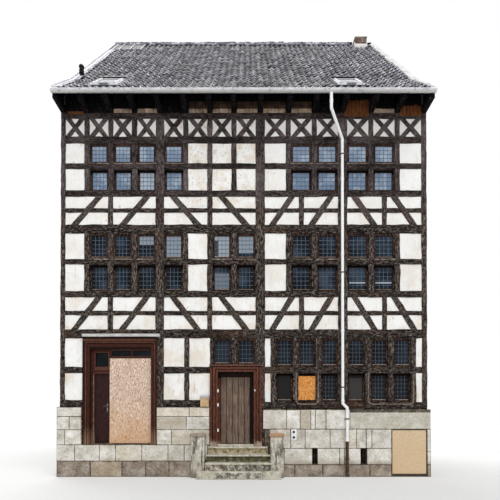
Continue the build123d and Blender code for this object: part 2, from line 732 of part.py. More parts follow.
def roof_timbers():
    """Rafters with sprockets at their feet, two purlins and the ridge beam."""
    solids = []
    slope = ROOF_SLOPE
    under = BREAK_TOP - COVER - SEAT
    foot = JOISTS[1] + SEAT
    y_top = BREAK_Y - (under - foot) / slope
    y_low = y_top + RAFTER / slope
    y_end = MID - RIDGE_BEAM / 2 - SEAT
    rise = (y_end - BREAK_Y) * slope
    rafter = [(y_top, foot), (y_low, foot), (y_end, under - RAFTER + rise), (y_end, under + rise)]
    y_eaves = (foot - (EAVES_TOP - COVER - SEAT)) / FLARE_SLOPE - EAVES_OUT
    sprocket = shrunk([(y_eaves, foot), (y_top, foot), (BREAK_Y, under)], 0.5)
    for a, b in frame_lines():
        mid = (a + b) / 2
        if abs(mid) > INNER:
            continue
        x0, x1 = mid - RAFTER_WIDE / 2, mid + RAFTER_WIDE / 2
        lit = any(abs(mid - x) < (SKYLIGHT_WIDE + RAFTER_WIDE) / 2 for x in SKYLIGHTS)
        capped = x1 > CHIMNEY[0]
        for side, (main, foot_piece) in enumerate(zip(both_sides(rafter), both_sides(sprocket))):
            if lit and side == 0:
                continue
            if capped:
                continue
            solids += [lengthways(main, x0, x1), lengthways(foot_piece, x0, x1)]
    wide, tall = PURLIN
    y = (BREAK_Y + MID) / 2
    top = under - RAFTER + (y - BREAK_Y) * slope - SEAT
    bar = [(y, top), (y + wide, top), (y + wide, top - tall), (y, top - tall)]
    for section in both_sides(bar):
        solids.append(lengthways(section, -INNER + SEAT, INNER - SEAT))
    half = RIDGE_BEAM / 2
    top = under + rise
    solids.append(
        box(-INNER + SEAT, CHIMNEY[0] - 5, MID - half, MID + half, top - RAFTER, top)
    )
    return solids


def cover_side(rear):
    """Tiles and battens of one slope, as slabs around the skylights and the chimney."""
    def slab(y0, y1, x0, x1):
        z0, z1 = tile_top(y0), tile_top(y1)
        section = [(y0, z0 - COVER), (y1, z1 - COVER), (y1, z1), (y0, z0)]
        section = shrunk(section)
        if rear:
            section = [(DEPTH - y, z) for y, z in section]
        return lengthways(section, x0 + JOINT / 2, x1 - JOINT / 2)

    solids = []
    y0, y3 = -EAVES_OUT, BREAK_Y
    if rear:
        solids.append(slab(y0, y3, -HALF, HALF))
    else:
        y1, y2 = (run - EAVES_OUT for run in SKYLIGHT_RUN)
        x = -HALF
        for centre in SKYLIGHTS:
            a, b = centre - SKYLIGHT_WIDE / 2, centre + SKYLIGHT_WIDE / 2
            solids += [slab(y0, y3, x, a), slab(y0, y1, a, b), slab(y2, y3, a, b)]
            x = b
        solids.append(slab(y0, y3, x, HALF))
    a, b = CHIMNEY
    solids += [
        slab(y3, MID, -HALF, a - 1),
        slab(y3, MID - CHIMNEY_DEEP / 2 - 1, a - 1, b + 1),
        slab(y3, MID, b + 1, HALF),
    ]
    return solids


def skylights():
    """Frames that stand a little above the tiles, and their panes."""
    frames, panes = [], []
    y0, y1 = (run - EAVES_OUT for run in SKYLIGHT_RUN)
    edge = SKYLIGHT_FRAME * math.cos(math.atan(FLARE_SLOPE))
    for centre in SKYLIGHTS:
        a = centre - SKYLIGHT_WIDE / 2 + JOINT
        b = centre + SKYLIGHT_WIDE / 2 - JOINT
        low, high = COVER, SKYLIGHT_UP

        def section(y0, y1, low, high):
            z0, z1 = tile_top(y0), tile_top(y1)
            return [(y0, z0 - low), (y1, z1 - low), (y1, z1 + high), (y0, z0 + high)]

        ring = lengthways(section(y0 + JOINT, y1 - JOINT, low, high), a, b)
        hole = lengthways(
            section(y0 + edge, y1 - edge, low + 50, high + 50),
            a + SKYLIGHT_FRAME, b - SKYLIGHT_FRAME,
        )
        frames.append((ring - hole).solids()[0])
        panes.append(
            lengthways(
                section(y0 + edge + SEAT, y1 - edge - SEAT, -10, 20),
                a + SKYLIGHT_FRAME + SEAT, b - SKYLIGHT_FRAME - SEAT,
            )
        )
    return frames, panes


def ridge_tiles():
    half = 150
    z0, z1 = tile_top(MID - half) + SEAT, tile_top(MID) + SEAT
    section = [
        (MID - half, z0), (MID, z1), (MID + half, z0),
        (MID + half, z0 + 55), (MID + 40, z1 + 60), (MID - 40, z1 + 60), (MID - half, z0 + 55),
    ]
    return [
        lengthways(section, -HALF, CHIMNEY[0] - 2),
        lengthways(section, CHIMNEY[1] + 2, HALF),
    ]


def verges():
    """Sheet metal laid over the tiles along both ends of the roof."""
    solids = []
    near_ridge = MID - 152
    for y0, y1 in ((-EAVES_OUT, BREAK_Y), (BREAK_Y, near_ridge)):
        z0, z1 = tile_top(y0) + SEAT, tile_top(y1) + SEAT
        section = shrunk([(y0, z0), (y1, z1), (y1, z1 + VERGE), (y0, z0 + VERGE)])
        for side in both_sides(section):
            solids.append(lengthways(side, -HALF, -HALF + VERGE_WIDE))
            solids.append(lengthways(side, HALF - VERGE_WIDE, HALF))
    return solids


def chimney():
    """Brick stack from the attic floor through the ridge, with an open flue."""
    a, b = CHIMNEY
    y0, y1 = MID - CHIMNEY_DEEP / 2, MID + CHIMNEY_DEEP / 2
    base = JOISTS[1] + BOARD + SEAT
    stack = box(a, b, y0, y1, base, CHIMNEY_TOP)
    rim = box(a - 35, b + 35, y0 - 35, y1 + 35, CHIMNEY_TOP - 90, CHIMNEY_TOP - 10)
    hole = box(
        a + FLUE_WALL, b - FLUE_WALL, y0 + FLUE_WALL, y1 - FLUE_WALL, base - 1, CHIMNEY_TOP + 1
    )
    return (stack + rim - hole).solids()


def vent_pipe():
    """A flue with a cap, its foot cut along the verge that it stands on."""
    x, y, radius, tall = VENT_PIPE
    top = tile_top(y) + tall
    y0, y1 = y - 2 * radius, y + 2 * radius
    foot = tile_top(y0)
    roof = lengthways(
        [(y0, foot - radius), (y1, foot - radius), (y1, tile_top(y1)), (y0, foot)],
        x - 2 * radius, x + 2 * radius,
    ).moved(Location((0, 0, SEAT + VERGE + SEAT)))
    pipe = Solid.make_cylinder(radius, top - foot, Plane((x, y, foot))) - roof
    cap = Solid.make_cylinder(radius + 45, 60, Plane((x, y, top)))
    return (pipe + cap).solids()


def gutter(y, x0, x1):
    """A half round trough."""
    long = x1 - x0
    plane = Plane(origin=(x0, y, GUTTER_TOP), x_dir=(0, 1, 0), z_dir=(1, 0, 0))
    outer = Solid.make_cylinder(GUTTER, long, plane)
    inner = Plane(origin=(x0 + 3, y, GUTTER_TOP), x_dir=(0, 1, 0), z_dir=(1, 0, 0))
    trough = outer - Solid.make_cylinder(GUTTER - GUTTER_WALL, long - 6, inner)
    over = box(x0 - 1, x1 + 1, y - 99, y + 99, GUTTER_TOP, GUTTER_TOP + 99)
    return (trough - over).solids()[0]


def tube(points, radius):
    """Round bars from point to point with a ball at each bend."""
    solid = None
    for p, q in zip(points, points[1:]):
        p, q = Vector(*p), Vector(*q)
        bar = Solid.make_cylinder(radius, (q - p).length, Plane(origin=p, z_dir=(q - p)))
        solid = bar if solid is None else solid + bar
    for p in points[1:-1]:
        solid = solid + Solid.make_sphere(radius, Plane(p))
    return solid


PIPE_PATH = [
    (2500, GUTTER_Y, GUTTER_TOP - GUTTER - SEAT),
    (2500, GUTTER_Y, 10560),
    (2940, -PIPE - 48, 10080),
    (2940, -PIPE - 48, 2170),
    (3060, -PLINTH_OUT - PIPE - 30, 2040),
    (3060, -PLINTH_OUT - PIPE - 30, 1065),
]


def downpipe():
    solid = tube(PIPE_PATH, PIPE)
    solids = solid.solids()
    x, y, z = PIPE_PATH[-1]
    iron = Solid.make_cylinder(PIPE + IRON, z - SEAT - 60, Plane((x, y, 60)))
    shoe = tube([(x, y, 60), (x, y - 70, 25 + PIPE)], PIPE + IRON)
    return solids, (iron + shoe).solids()


def brackets():
    """Clips that hold the pipe to the wall."""
    solids = []
    for z in CLIPS:
        x, y, _ = PIPE_PATH[2]
        solids.append(box(x - 60, x + 60, y + PIPE + SEAT, -SEAT, z, z + 30))
    for z in IRON_CLIPS:
        x, y, end = PIPE_PATH[-1]
        near = y + PIPE + (IRON + 1 if z < end else SEAT)
        solids.append(box(x - 60, x + 60, near, -PLINTH_OUT - SEAT, z, z + 30))
    return solids


def letterbox():
    """A box on the sill beside the house door."""
    x0, x1 = DOORCASE[0] - 25 - 250, DOORCASE[0] - 25
    foot = SILL_LEFT[0] + SEAT
    return [box(x0, x1, -110, -SEAT, foot, foot + 330)]


def main():
    wall = Facade()
    wall.ground_storey()
    wall.upper_storeys()
    end = HALF + PLINTH_SIDE
    save("plinth_front", plinth_front())
    save("plinth_rear", [box(-end, end, DEPTH + PLINTH_OUT - PLINTH, DEPTH + PLINTH_OUT,
                             0, SILL_RIGHT[0] - JOINT)])
    save("cellar_lintel", cellar_lintel())
    ring, board = cellar_hatch()
    save("hatch_frame", ring)
    save("door_steps", steps())
    save("step_cheeks", cheeks())
    save("party_wall_left", party_wall(-HALF, -INNER))
    save("party_wall_right", party_wall(INNER, HALF))
    save("front_posts", main_posts())
    save("front_beams", beams())
    save("front_rails", wall.rails)
    save("front_studs", wall.studs)
    save("front_braces", wall.braces)
    save("front_panels", wall.panels)
    save("brace_band_panels", wall.band_panels)
    save("window_frames_ground", wall.frames["ground"])
    save("window_frames_upper", wall.frames["upper"])
    case, cornice, lights, portal_board, shop_leaf = portal()
    save("portal_frame", case)
    save("portal_cornice", cornice)
    save("chipboards", wall.boards + board + [portal_board])
    save("portal_door", shop_leaf)
    frames, panes = skylights()
    save("window_glass", wall.glass + lights + panes)
    case, leaf = entrance()
    save("entrance_frame", case)
    save("entrance_door", leaf)
    save("letterbox", letterbox())
    save("floor_boards", floor_boards())
    save("floor_joists", floor_joists())
    save("attic_joists", attic_joists())
    save("eaves_infill", eaves_infill())
    timbers, panels, rear_frames, rear_glass = rear_wall()
    save("rear_timbers", timbers)
    save("rear_panels", panels)
    save("rear_window_frames", rear_frames)
    save("rear_window_glass", rear_glass)
    save("roof_timbers", roof_timbers())
    save("roof_cover_front", cover_side(False))
    save("roof_cover_rear", cover_side(True))
    save("ridge_tiles", ridge_tiles())
    save("verge_flashings", verges())
    save("skylight_frames", frames)
    save("chimney", chimney())
    save("vent_pipe", vent_pipe())
    save("gutters", [gutter(GUTTER_Y, -HALF, HALF), gutter(DEPTH - GUTTER_Y, -HALF, HALF)])
    white, iron = downpipe()
    save("downpipe", white)
    save("downpipe_foot", iron)
    save("pipe_brackets", brackets())


if __name__ == "__main__":
    main()
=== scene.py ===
import math
import random

import bpy
from mathutils import Matrix, Vector


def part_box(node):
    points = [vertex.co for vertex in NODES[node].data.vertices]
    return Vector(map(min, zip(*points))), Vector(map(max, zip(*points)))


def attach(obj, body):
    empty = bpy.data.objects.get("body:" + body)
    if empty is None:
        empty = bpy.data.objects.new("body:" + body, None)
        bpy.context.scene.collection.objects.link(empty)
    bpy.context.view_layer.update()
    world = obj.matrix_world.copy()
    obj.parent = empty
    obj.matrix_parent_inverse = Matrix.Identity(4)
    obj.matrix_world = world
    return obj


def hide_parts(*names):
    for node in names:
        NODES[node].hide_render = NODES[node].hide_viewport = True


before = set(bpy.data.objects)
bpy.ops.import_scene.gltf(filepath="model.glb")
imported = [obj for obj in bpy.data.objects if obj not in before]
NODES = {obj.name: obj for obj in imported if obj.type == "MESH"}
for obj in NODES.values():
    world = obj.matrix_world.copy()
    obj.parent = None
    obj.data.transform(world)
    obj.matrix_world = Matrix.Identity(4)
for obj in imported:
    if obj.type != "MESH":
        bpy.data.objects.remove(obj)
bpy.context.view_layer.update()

bl_info = {
    "name": "Half timbered house finishes",
    "version": (1, 0, 0),
    "blender": (4, 5, 0),
    "location": "3D View > Sidebar > House",
    "description": "Dresses the packed half timbered house: tiles, stones, leaded lights and finishes",
    "category": "Object",
}

FACE_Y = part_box("front_posts")[0].y
DOOR_BODY = "house_door"
SHOP_BODY = "shop_door"
HOUSE_BODY = "house"


# ---------------------------------------------------------------- colours and node trees


def linear(code):
    """Scene linear colour of a six figure display colour."""
    parts = [int(code[i:i + 2], 16) / 255 for i in (0, 2, 4)]
    return [c / 12.92 if c <= 0.04045 else ((c + 0.055) / 1.055) ** 2.4 for c in parts] + [1.0]


class Finish:
    """A procedural material under construction: each step lays something over the last."""

    def __init__(self, name, rough=0.8, metal=0.0, specular=0.3):
        self.material = bpy.data.materials.new(name)
        self.material.use_nodes = True
        self.tree = self.material.node_tree
        self.shader = self.tree.nodes["Principled BSDF"]
        for socket, value in (("Roughness", rough), ("Metallic", metal), ("Specular IOR Level", specular)):
            self.shader.inputs[socket].default_value = value
        self.place = self.node("TexCoord").outputs["Object"]
        self.normal = None
        self.colour = None

    def node(self, kind, values=(), **settings):
        """A node with its settings, and its sockets filled with constants or linked."""
        made = self.tree.nodes.new("ShaderNode" + kind)
        for key, value in settings.items():
            setattr(made, key, value)
        for key, value in dict(values).items():
            if isinstance(value, bpy.types.NodeSocket):
                self.tree.links.new(value, made.inputs[key])
            else:
                made.inputs[key].default_value = value
        return made

    def noise(self, scale, stretch=(1, 1, 1), detail=4.0, roughness=0.6, shift=(0, 0, 0), turn=(0, 0, 0)):
        where = self.node("Mapping", {"Scale": stretch, "Rotation": turn, "Location": shift,
                                      "Vector": self.place})
        return self.node("TexNoise", {"Scale": scale, "Detail": detail, "Roughness": roughness,
                                      "Vector": where.outputs["Vector"]}).outputs["Fac"]

    def ramp(self, source, codes, places):
        node = self.node("ValToRGB", {"Fac": source})
        band = node.color_ramp
        for place in places[1:-1]:
            band.elements.new(place)
        for element, place, code in zip(band.elements, places, codes):
            element.position, element.color = place, linear(code)
        return node.outputs["Color"]

    def mask(self, source, low, high):
        """0 at low and 1 at high."""
        return self.node("MapRange", {"Value": source, "From Min": low, "From Max": high}).outputs["Result"]

    def spots(self, low, high, scale, stretch=(1, 1, 1), **values):
        """1 where a noise of that scale is over high, 0 where it is under low."""
        return self.mask(self.noise(scale, stretch, **values), low, high)

    def math(self, how, a, b):
        return self.node("Math", {0: a, 1: b}, operation=how).outputs[0]

    def both(self, first, *others):
        """1 only where all the masks are."""
        for other in others:
            first = self.math("MULTIPLY", first, other)
        return first

    def mixed(self, factor, a, b, blend="MIX"):
        return self.node("Mix", {0: factor, 6: a, 7: b}, data_type="RGBA", blend_type=blend).outputs[2]

    def base(self, source, codes, places):
        self.colour = self.ramp(source, codes, places)
        return self

    def over(self, factor, code, amount=1.0):
        """Lays a colour over what is there, where factor says."""
        if amount < 1.0:
            factor = self.both(factor, amount)
        self.colour = self.mixed(factor, self.colour, linear(code))
        return self

    def island(self):
        """A random number for each stone, brick or tile."""
        return self.node("NewGeometry").outputs["Random Per Island"]

    def each(self, dark, light):
        """Each stone, brick or tile is darker or lighter than the next."""
        value = self.mask(self.island(), 0, 1)
        value.node.inputs["To Min"].default_value = 1 - dark
        value.node.inputs["To Max"].default_value = 1 + light
        self.colour = self.mixed(1.0, self.colour, value, "MULTIPLY")
        return self

    def some(self, share, code, amount=1.0):
        """Lays a colour over that share of the stones, bricks or tiles."""
        drawn = self.math("FRACT", self.both(self.island(), 7.31), 0)
        return self.over(self.mask(drawn, share + 0.02, share - 0.02), code, amount)

    def inside(self, x0, x1, z0, z1, soft=0.01):
        """1 within the upright rectangle and 0 round it."""
        x, z = self.along("X"), self.along("Z")
        return self.both(self.mask(x, x0 - soft, x0 + soft), self.mask(x, x1 + soft, x1 - soft),
                         self.mask(z, z0 - soft, z0 + soft), self.mask(z, z1 + soft, z1 - soft))

    def split(self, source, axis):
        return self.node("SeparateXYZ", {0: source}).outputs[axis]

    def facing(self, axis):
        """How far the surface points along an axis, from -1 to 1."""
        return self.split(self.node("TexCoord").outputs["Normal"], axis)

    def along(self, axis):
        return self.split(self.place, axis)

    def bump(self, source, strength, distance):
        node = self.node("Bump", {"Strength": strength, "Distance": distance, "Height": source})
        if self.normal is not None:
            self.tree.links.new(self.normal, node.inputs["Normal"])
        self.normal = node.outputs["Normal"]
        return self

    def done(self):
        self.tree.links.new(self.colour, self.shader.inputs["Base Color"])
        self.tree.links.new(self.normal, self.shader.inputs["Normal"])
        return self.material


def aged_timber(name, way="", tones=("110d0c", "383130", "83796e"), smooth=("332b2c", "544b4c", "766c6d"),
                warm="5f4230", shade="0f0c0b", worn=0.32, heads=(), sooty=False):
    """Old dark paint on oak, speckled and worn.

    way is the axis of the grain. The tops of deep window lights, given by height, get black painted shadow
    on the frames under them, and rafters get black painted shade where they stand out under the eaves.
    """
    m = Finish(name, rough=0.85, specular=0.06)
    soft, grain = ([along if axis == way else 1.0 for axis in "XYZ"] for along in (0.34, 0.1))
    low = m.mask(m.along("Z"), 9.0, 7.4)
    fine = m.noise(23.0, soft, detail=6.0, roughness=0.75, shift=(3.1, 1.7, 5.3))
    broad = m.noise(2.2, soft, detail=6.0, roughness=0.7)
    speckle = m.ramp(fine, tones, (0.40, 0.5, 0.61))
    m.base(m.math("ADD", m.both(fine, 0.45), m.both(broad, 0.55)), smooth, (0.42, 0.5, 0.58))
    m.colour = m.mixed(m.mask(low, -0.45, 1.0), m.colour, speckle)
    fleck = m.spots(0.60, 0.67, 40.0, soft, detail=3.0, shift=(5, 5, 2))
    m.over(m.both(fleck, m.mask(low, -0.6, 1.0)), "a5988a", 0.75)
    brown = m.spots(0.53, 0.66, 2.8, soft, detail=6.0, shift=(7, 2, 9))
    m.over(m.both(brown, m.mask(low, -0.3, 1.0)), warm, worn)
    m.over(m.mask(broad, 0.5, 0.36), shade, 0.5)
    crack = m.noise(46.0, grain, detail=3.0, shift=(9, 4, 2))
    m.over(m.mask(crack, 0.44, 0.36), shade, 0.65)
    # painted shade: black where the timbers stand out under the eaves
    if sooty:
        m.over(m.mask(m.math("ABSOLUTE", m.along("Y"), 0), 4.85, 4.95), "0a090b")
    # painted shadow: black at the top of deep window frames, under the head
    for head in heads:
        under = m.mask(m.along("Z"), head - 0.16, head - 0.12)
        m.over(m.both(under, m.mask(m.along("Z"), head + 0.01, head)), "060405", 0.95)
    return m.bump(fine, 0.6, 0.014).bump(crack, 0.6, 0.006).done()


def lime_plaster(name):
    """White lime wash, with tan stains that grow towards the street."""
    m = Finish(name, rough=0.92)
    m.base(m.noise(1.7, detail=5.0), ("edebe6", "f5f4f1", "fbfaf8"), (0.3, 0.5, 0.7))
    low = m.mask(m.along("Z"), 9.6, 2.4)
    damp = m.spots(0.5, 0.6, 1.5, (1, 1, 0.8), detail=6.0, shift=(12, 3, 4))
    m.over(m.both(damp, m.mask(low, -0.25, 0.9)), "dccbb0", 0.45)
    blush = m.spots(0.55, 0.66, 1.1, detail=6.0, shift=(3, 8, 14))
    m.over(m.both(blush, m.mask(low, -0.1, 0.8)), "e4d3be", 0.38)
    bay = m.both(m.mask(m.along("X"), -2.5, -1.9), m.mask(m.along("X"), 0.9, 0.3),
                 m.mask(m.along("Z"), 7.4, 8.4))
    for low_spot, high_spot, scale, shift, code in ((0.49, 0.58, 2.4, (4, 4, 1), "dcc5a8"),
                                                    (0.56, 0.62, 12.0, (9, 4, 1), "8d8175")):
        stain = m.spots(low_spot, high_spot, scale, detail=7.0, roughness=0.7, shift=shift)
        m.over(m.both(bay, stain), code, 0.45)
    streaks = m.spots(0.57, 0.7, 5.0, (2.4, 1, 0.35), shift=(2, 8, 1))
    m.over(m.both(streaks, m.mask(low, -0.3, 1.0)), "b99f80", 0.45)
    m.over(m.spots(0.62, 0.7, 34.0, detail=5.0, shift=(5, 5, 5)), "a3978a", 0.55)
    m.over(m.spots(0.62, 0.7, 5.0, detail=6.0, shift=(1, 4, 9)), "c3a88d", 0.5)
    return m.bump(m.noise(14.0, detail=6.0), 0.35, 0.006).bump(m.noise(120.0), 0.25, 0.0015).done()


def ashlar_stone(name, tones, dirt="6d6250", low=0.45, vary=0.1, brown="84705a"):
    """Sandstone, pitted and stained, browner towards the ground; vary tells its stones apart."""
    m = Finish(name, rough=0.9)
    m.base(m.noise(3.2, detail=8.0, roughness=0.7), tones, (0.34, 0.5, 0.66))
    if vary:
        m.each(vary, vary * 0.5).some(0.16, "d8c5a2", 0.3).some(0.06, "8c7c68", 0.4)
    m.over(m.spots(0.53, 0.6, 20.0, (1, 1, 1.4), detail=8.0, roughness=0.8, shift=(1, 2, 3)), dirt, 0.5)
    m.over(m.spots(0.56, 0.66, 26.0, detail=6.0, roughness=0.8, shift=(6, 6, 3)), "fbf8f0", 0.6)
    m.over(m.spots(0.56, 0.66, 3.4, (0.7, 1, 2.0), detail=6.0, shift=(8, 2, 3)), "a39273", 0.35)
    m.over(m.mask(m.along("Z"), low + 0.05, low - 0.1), brown, 0.7)
    m.over(m.spots(0.62, 0.68, 52.0, shift=(4, 4, 4)), "3b3229", 0.6)
    return m.bump(m.noise(26.0, detail=8.0, roughness=0.7), 0.6, 0.01).bump(m.noise(160.0), 0.3, 0.0012).done()


TILE_MAP = "tile"
TROUGH = 0.574  # where the trough of a tile lies, as a share of its width


def clay_tile(name, shaped=True):
    """Weathered grey clay; on a pantile a painted highlight lines the lower rim, and painted shade darkens the
    roll's foot and the place under the next tile.
    """
    m = Finish(name, rough=0.7, specular=0.1)
    m.base(m.noise(2.2, detail=6.0), ("827c88", "a6a1af", "cdc8d6"), (0.34, 0.5, 0.66))
    if shaped:
        place = m.node("UVMap", uv_map=TILE_MAP).outputs[0]
        across, up = m.split(place, 0), m.split(place, 1)
        # painted highlight along the lower rim of each tile
        m.over(m.mask(up, 0.012, 0.002), "ffffff", 0.85)
    m.each(0.7, 0.6)
    m.over(m.spots(0.50, 0.60, 26.0, detail=5.0, roughness=0.7, shift=(7, 7, 1)), "221f25", 0.6)
    m.over(m.spots(0.56, 0.64, 24.0, detail=6.0, roughness=0.7, shift=(3, 0, 0)), "dedbe0", 0.7)
    m.over(m.spots(0.52, 0.7, 1.2, (1, 1, 0.4), detail=6.0, shift=(8, 2, 0)), "3e3a42", 0.35)
    m.over(m.spots(0.6, 0.68, 9.0, detail=6.0, shift=(1, 9, 2)), "6e6446", 0.55)
    if shaped:
        # painted shade at the roll's foot, and painted shadow where the next tile laps over
        off = m.math("ABSOLUTE", m.math("SUBTRACT", across, TROUGH), 0)
        m.over(m.both(m.mask(up, 0.004, 0.02), m.mask(off, 0.17, 0.34)), "1c191f", 0.75)
        m.over(m.mask(up, 0.30, 0.66), "0b090d", 0.94)
    return m.bump(m.noise(70.0, detail=5.0), 0.3, 0.002).done()


def zinc(name, tones=("8f9194", "b4b6b8", "cfd0d2"), under=None):
    """Dull sheet metal; under is the colour of painted shade on what faces down."""
    m = Finish(name, rough=0.5, metal=0.35, specular=0.5)
    m.base(m.noise(3.0, detail=5.0), tones, (0.3, 0.5, 0.72))
    m.over(m.spots(0.6, 0.75, 9.0, (1, 1, 0.4), shift=(3, 3, 0)), "6b6d70", 0.5)
    if under:
        # painted shade on the faces that point down
        m.over(m.mask(m.facing("Z"), -0.25, -0.8), under, 0.85)
        m.over(m.spots(0.56, 0.64, 12.0, detail=6.0, shift=(2, 5, 1)), "55524c", 0.5)
    return m.bump(m.noise(40.0), 0.1, 0.001).done()


def painted_wood(name, tones, worn, grain=(9, 9, 0.8), foot=None, dark=None):
    """Painted joinery with the grain showing and worn places.

    foot is from where to where the paint is off at the foot; dark gives places in deep shade.
    """
    m = Finish(name, rough=0.6, specular=0.12)
    m.base(m.noise(7.0, grain, detail=6.0, roughness=0.7), tones, (0.36, 0.5, 0.66))
    m.over(m.spots(0.58, 0.68, 22.0, grain, detail=5.0, shift=(2, 6, 4)), worn, 0.5)
    m.over(m.spots(0.42, 0.34, 30.0, grain, shift=(8, 1, 4)), "0e0807", 0.6)
    if foot is not None:
        bottom, top = foot
        ragged = m.math("ADD", m.along("Z"), m.both(m.noise(9.0, (1, 1, 0.3), detail=5.0), 0.5))
        m.over(m.mask(ragged, top + 0.25, bottom + 0.25), worn, 0.85)
    if dark is not None:
        m.over(dark(m), "0b0706", 0.9)
    return m.bump(m.noise(34.0, grain), 0.45, 0.003).done()


def portal_shade(m):
    """The reveal of the portal between its mouldings and the inner frame."""
    y = m.along("Y")
    return m.both(m.mask(y, FACE_Y + 0.002, FACE_Y + 0.006), m.mask(y, FACE_Y + 0.056, FACE_Y + 0.052))


def doorcase_shade(m):
    """The head and the right side of the deep reveal of the house door."""
    deep = m.mask(m.along("Y"), FACE_Y + 0.01, FACE_Y + 0.02)
    return m.both(deep, m.math("MAXIMUM", m.mask(m.along("X"), 0.15, 0.17), m.mask(m.along("Z"), 2.94, 2.97)))


def chipboard(name, tones, flames=0.5, turn=0.0, fade=None, speck="8f6f58"):
    """Raw board: flames of the sliced grain, fine strands and specks."""
    m = Finish(name, rough=0.85)
    field = m.noise(2.6, (1.0, 1.0, 0.5), detail=2.0, roughness=0.45, turn=(0, turn, 0))
    ring = m.both(m.math("SINE", m.both(field, 190.0), 0), 0.5)
    strand = m.noise(42.0, (1.0, 1.0, 0.3), roughness=0.7, turn=(0, turn + 0.4, 0))
    mixed = m.math("ADD", m.both(ring, 0.2 * flames), strand)
    m.base(mixed, tones, (0.34, 0.5, 0.66))
    m.over(m.mask(mixed, 0.40, 0.33), speck, 0.5)
    m.over(m.spots(0.5, 0.66, 2.2, (1, 1, 0.6), detail=5.0), tones[0], 0.35)
    if fade:
        m.over(m.mask(m.along("Z"), 2.4, 0.9), fade, 0.5)
    return m.bump(strand, 0.3, 0.0015).done()


SKY_PANES = (  # x0, x1, z0, z1, colour and share of what single panes mirror
    (-3.20, -2.64, 6.96, 7.25, "99a3af", 0.85), (-2.36, -1.80, 6.5, 7.3, "8e99a6", 0.95),
    (-0.90, -0.36, 6.5, 7.3, "a0a9b3", 0.95), (-0.88, -0.76, 6.62, 7.1, "2b2a2d", 0.9),
    (-0.20, 0.36, 6.72, 7.3, "95a0ac", 0.9), (-0.90, -0.36, 5.5, 6.12, "79838e", 0.9),
    (-3.20, -2.64, 8.6, 9.2, "c2ccd6", 0.5), (3.10, 3.66, 2.2, 2.95, "403e3d", 0.9),
    (1.05, 1.45, 2.2, 3.0, "262423", 0.9),
)


def window_glass(name):
    """Old panes with painted reflection: dark below, and pale with the mirrored sky on the top storey and the
    roof.
    """
    m = Finish(name, rough=0.07, specular=0.12)
    m.base(m.noise(1.3, (1, 1, 1.4), detail=2.0), ("0d1119", "1c2430", "3a4656"), (0.36, 0.5, 0.66))
    height = m.along("Z")
    # painted reflection: darker on the lower storeys, pale blue with the mirrored sky higher up, with pale
    # flecks
    for start, end, code, amount in ((4.6, 4.2, "141416", 0.65), (3.15, 3.0, "1f1f20", 0.5),
                                     (8.3, 8.7, "7f93ad", 0.9), (9.1, 9.9, "93a3ba", 0.6)):
        m.over(m.mask(height, start, end), code, amount)
    m.over(m.both(m.mask(height, 8.4, 8.6), m.spots(0.5, 0.62, 2.6, shift=(2, 2, 2))), "c3d0de", 0.5)
    street = m.mask(m.along("Y"), 0.5, -0.5)
    for *rectangle, code, amount in SKY_PANES:
        m.over(m.both(m.inside(*rectangle), street), code, amount)
    # painted reflection: the roof lights pale with the sky
    m.over(m.mask(height, 11.0, 11.2), "f6f6fb")
    return m.bump(m.noise(5.0, detail=1.0), 0.08, 0.004).done()


def plain_metal(name, tones, rough=0.5, metal=0.6, rust=None, low=None):
    """Sheet or bar metal; low is its darker colour on the lower storeys, painted shade."""
    m = Finish(name, rough=rough, metal=metal)
    m.base(m.noise(14.0, detail=5.0), tones, (0.3, 0.5, 0.72))
    if low:
        # painted shade: darker on the lower storeys
        m.over(m.mask(m.along("Z"), 4.6, 4.2), low, 0.7)
    if rust:
        m.over(m.spots(0.5, 0.66, 9.0, detail=6.0, shift=(5, 1, 3)), rust, 0.8)
    return m.bump(m.noise(60.0), 0.2, 0.001).done()


def step_stone(name):
    """Pale worn nosings; the risers are tan, mossy, mottled and pale from the door down."""
    m = Finish(name, rough=0.92)
    m.base(m.noise(6.0, detail=8.0, roughness=0.75), ("9c9484", "c4bdac", "e2ddd0"), (0.36, 0.5, 0.64))
    height, patches = m.along("Z"), m.noise(9.0, detail=8.0, roughness=0.75, shift=(6, 2, 2))
    riser = m.mask(m.facing("Z"), 0.7, 0.3)

    def level(low, high):
        return m.both(m.mask(height, low, low + 0.01), m.mask(height, high, high - 0.01), riser)

    m.over(level(0.70, 0.86), "b39f7c", 0.8)
    m.over(m.both(level(0.70, 0.86), m.mask(patches, 0.49, 0.56)), "5d5a22", 0.85)
    m.over(level(0.46, 0.63), "35321a", 0.95)
    m.over(m.both(level(0.46, 0.63), m.mask(patches, 0.5, 0.58)), "66682a", 0.8)
    m.over(m.both(level(0.22, 0.41), m.mask(patches, 0.46, 0.54)), "2c2822", 0.85)
    middle = m.both(m.mask(m.along("X"), -0.85, -0.75), m.mask(m.along("X"), 0.62, 0.52))
    m.over(m.both(level(0.02, 0.19), middle, m.mask(patches, 0.46, 0.55)), "3f3a33", 0.85)
    m.over(m.spots(0.58, 0.66, 30.0, detail=5.0, shift=(2, 5, 5)), "efebdf", 0.5)
    m.over(m.spots(0.6, 0.68, 30.0, detail=5.0, shift=(4, 1, 5)), "3a352a", 0.6)
    return m.bump(patches, 0.6, 0.012).done()


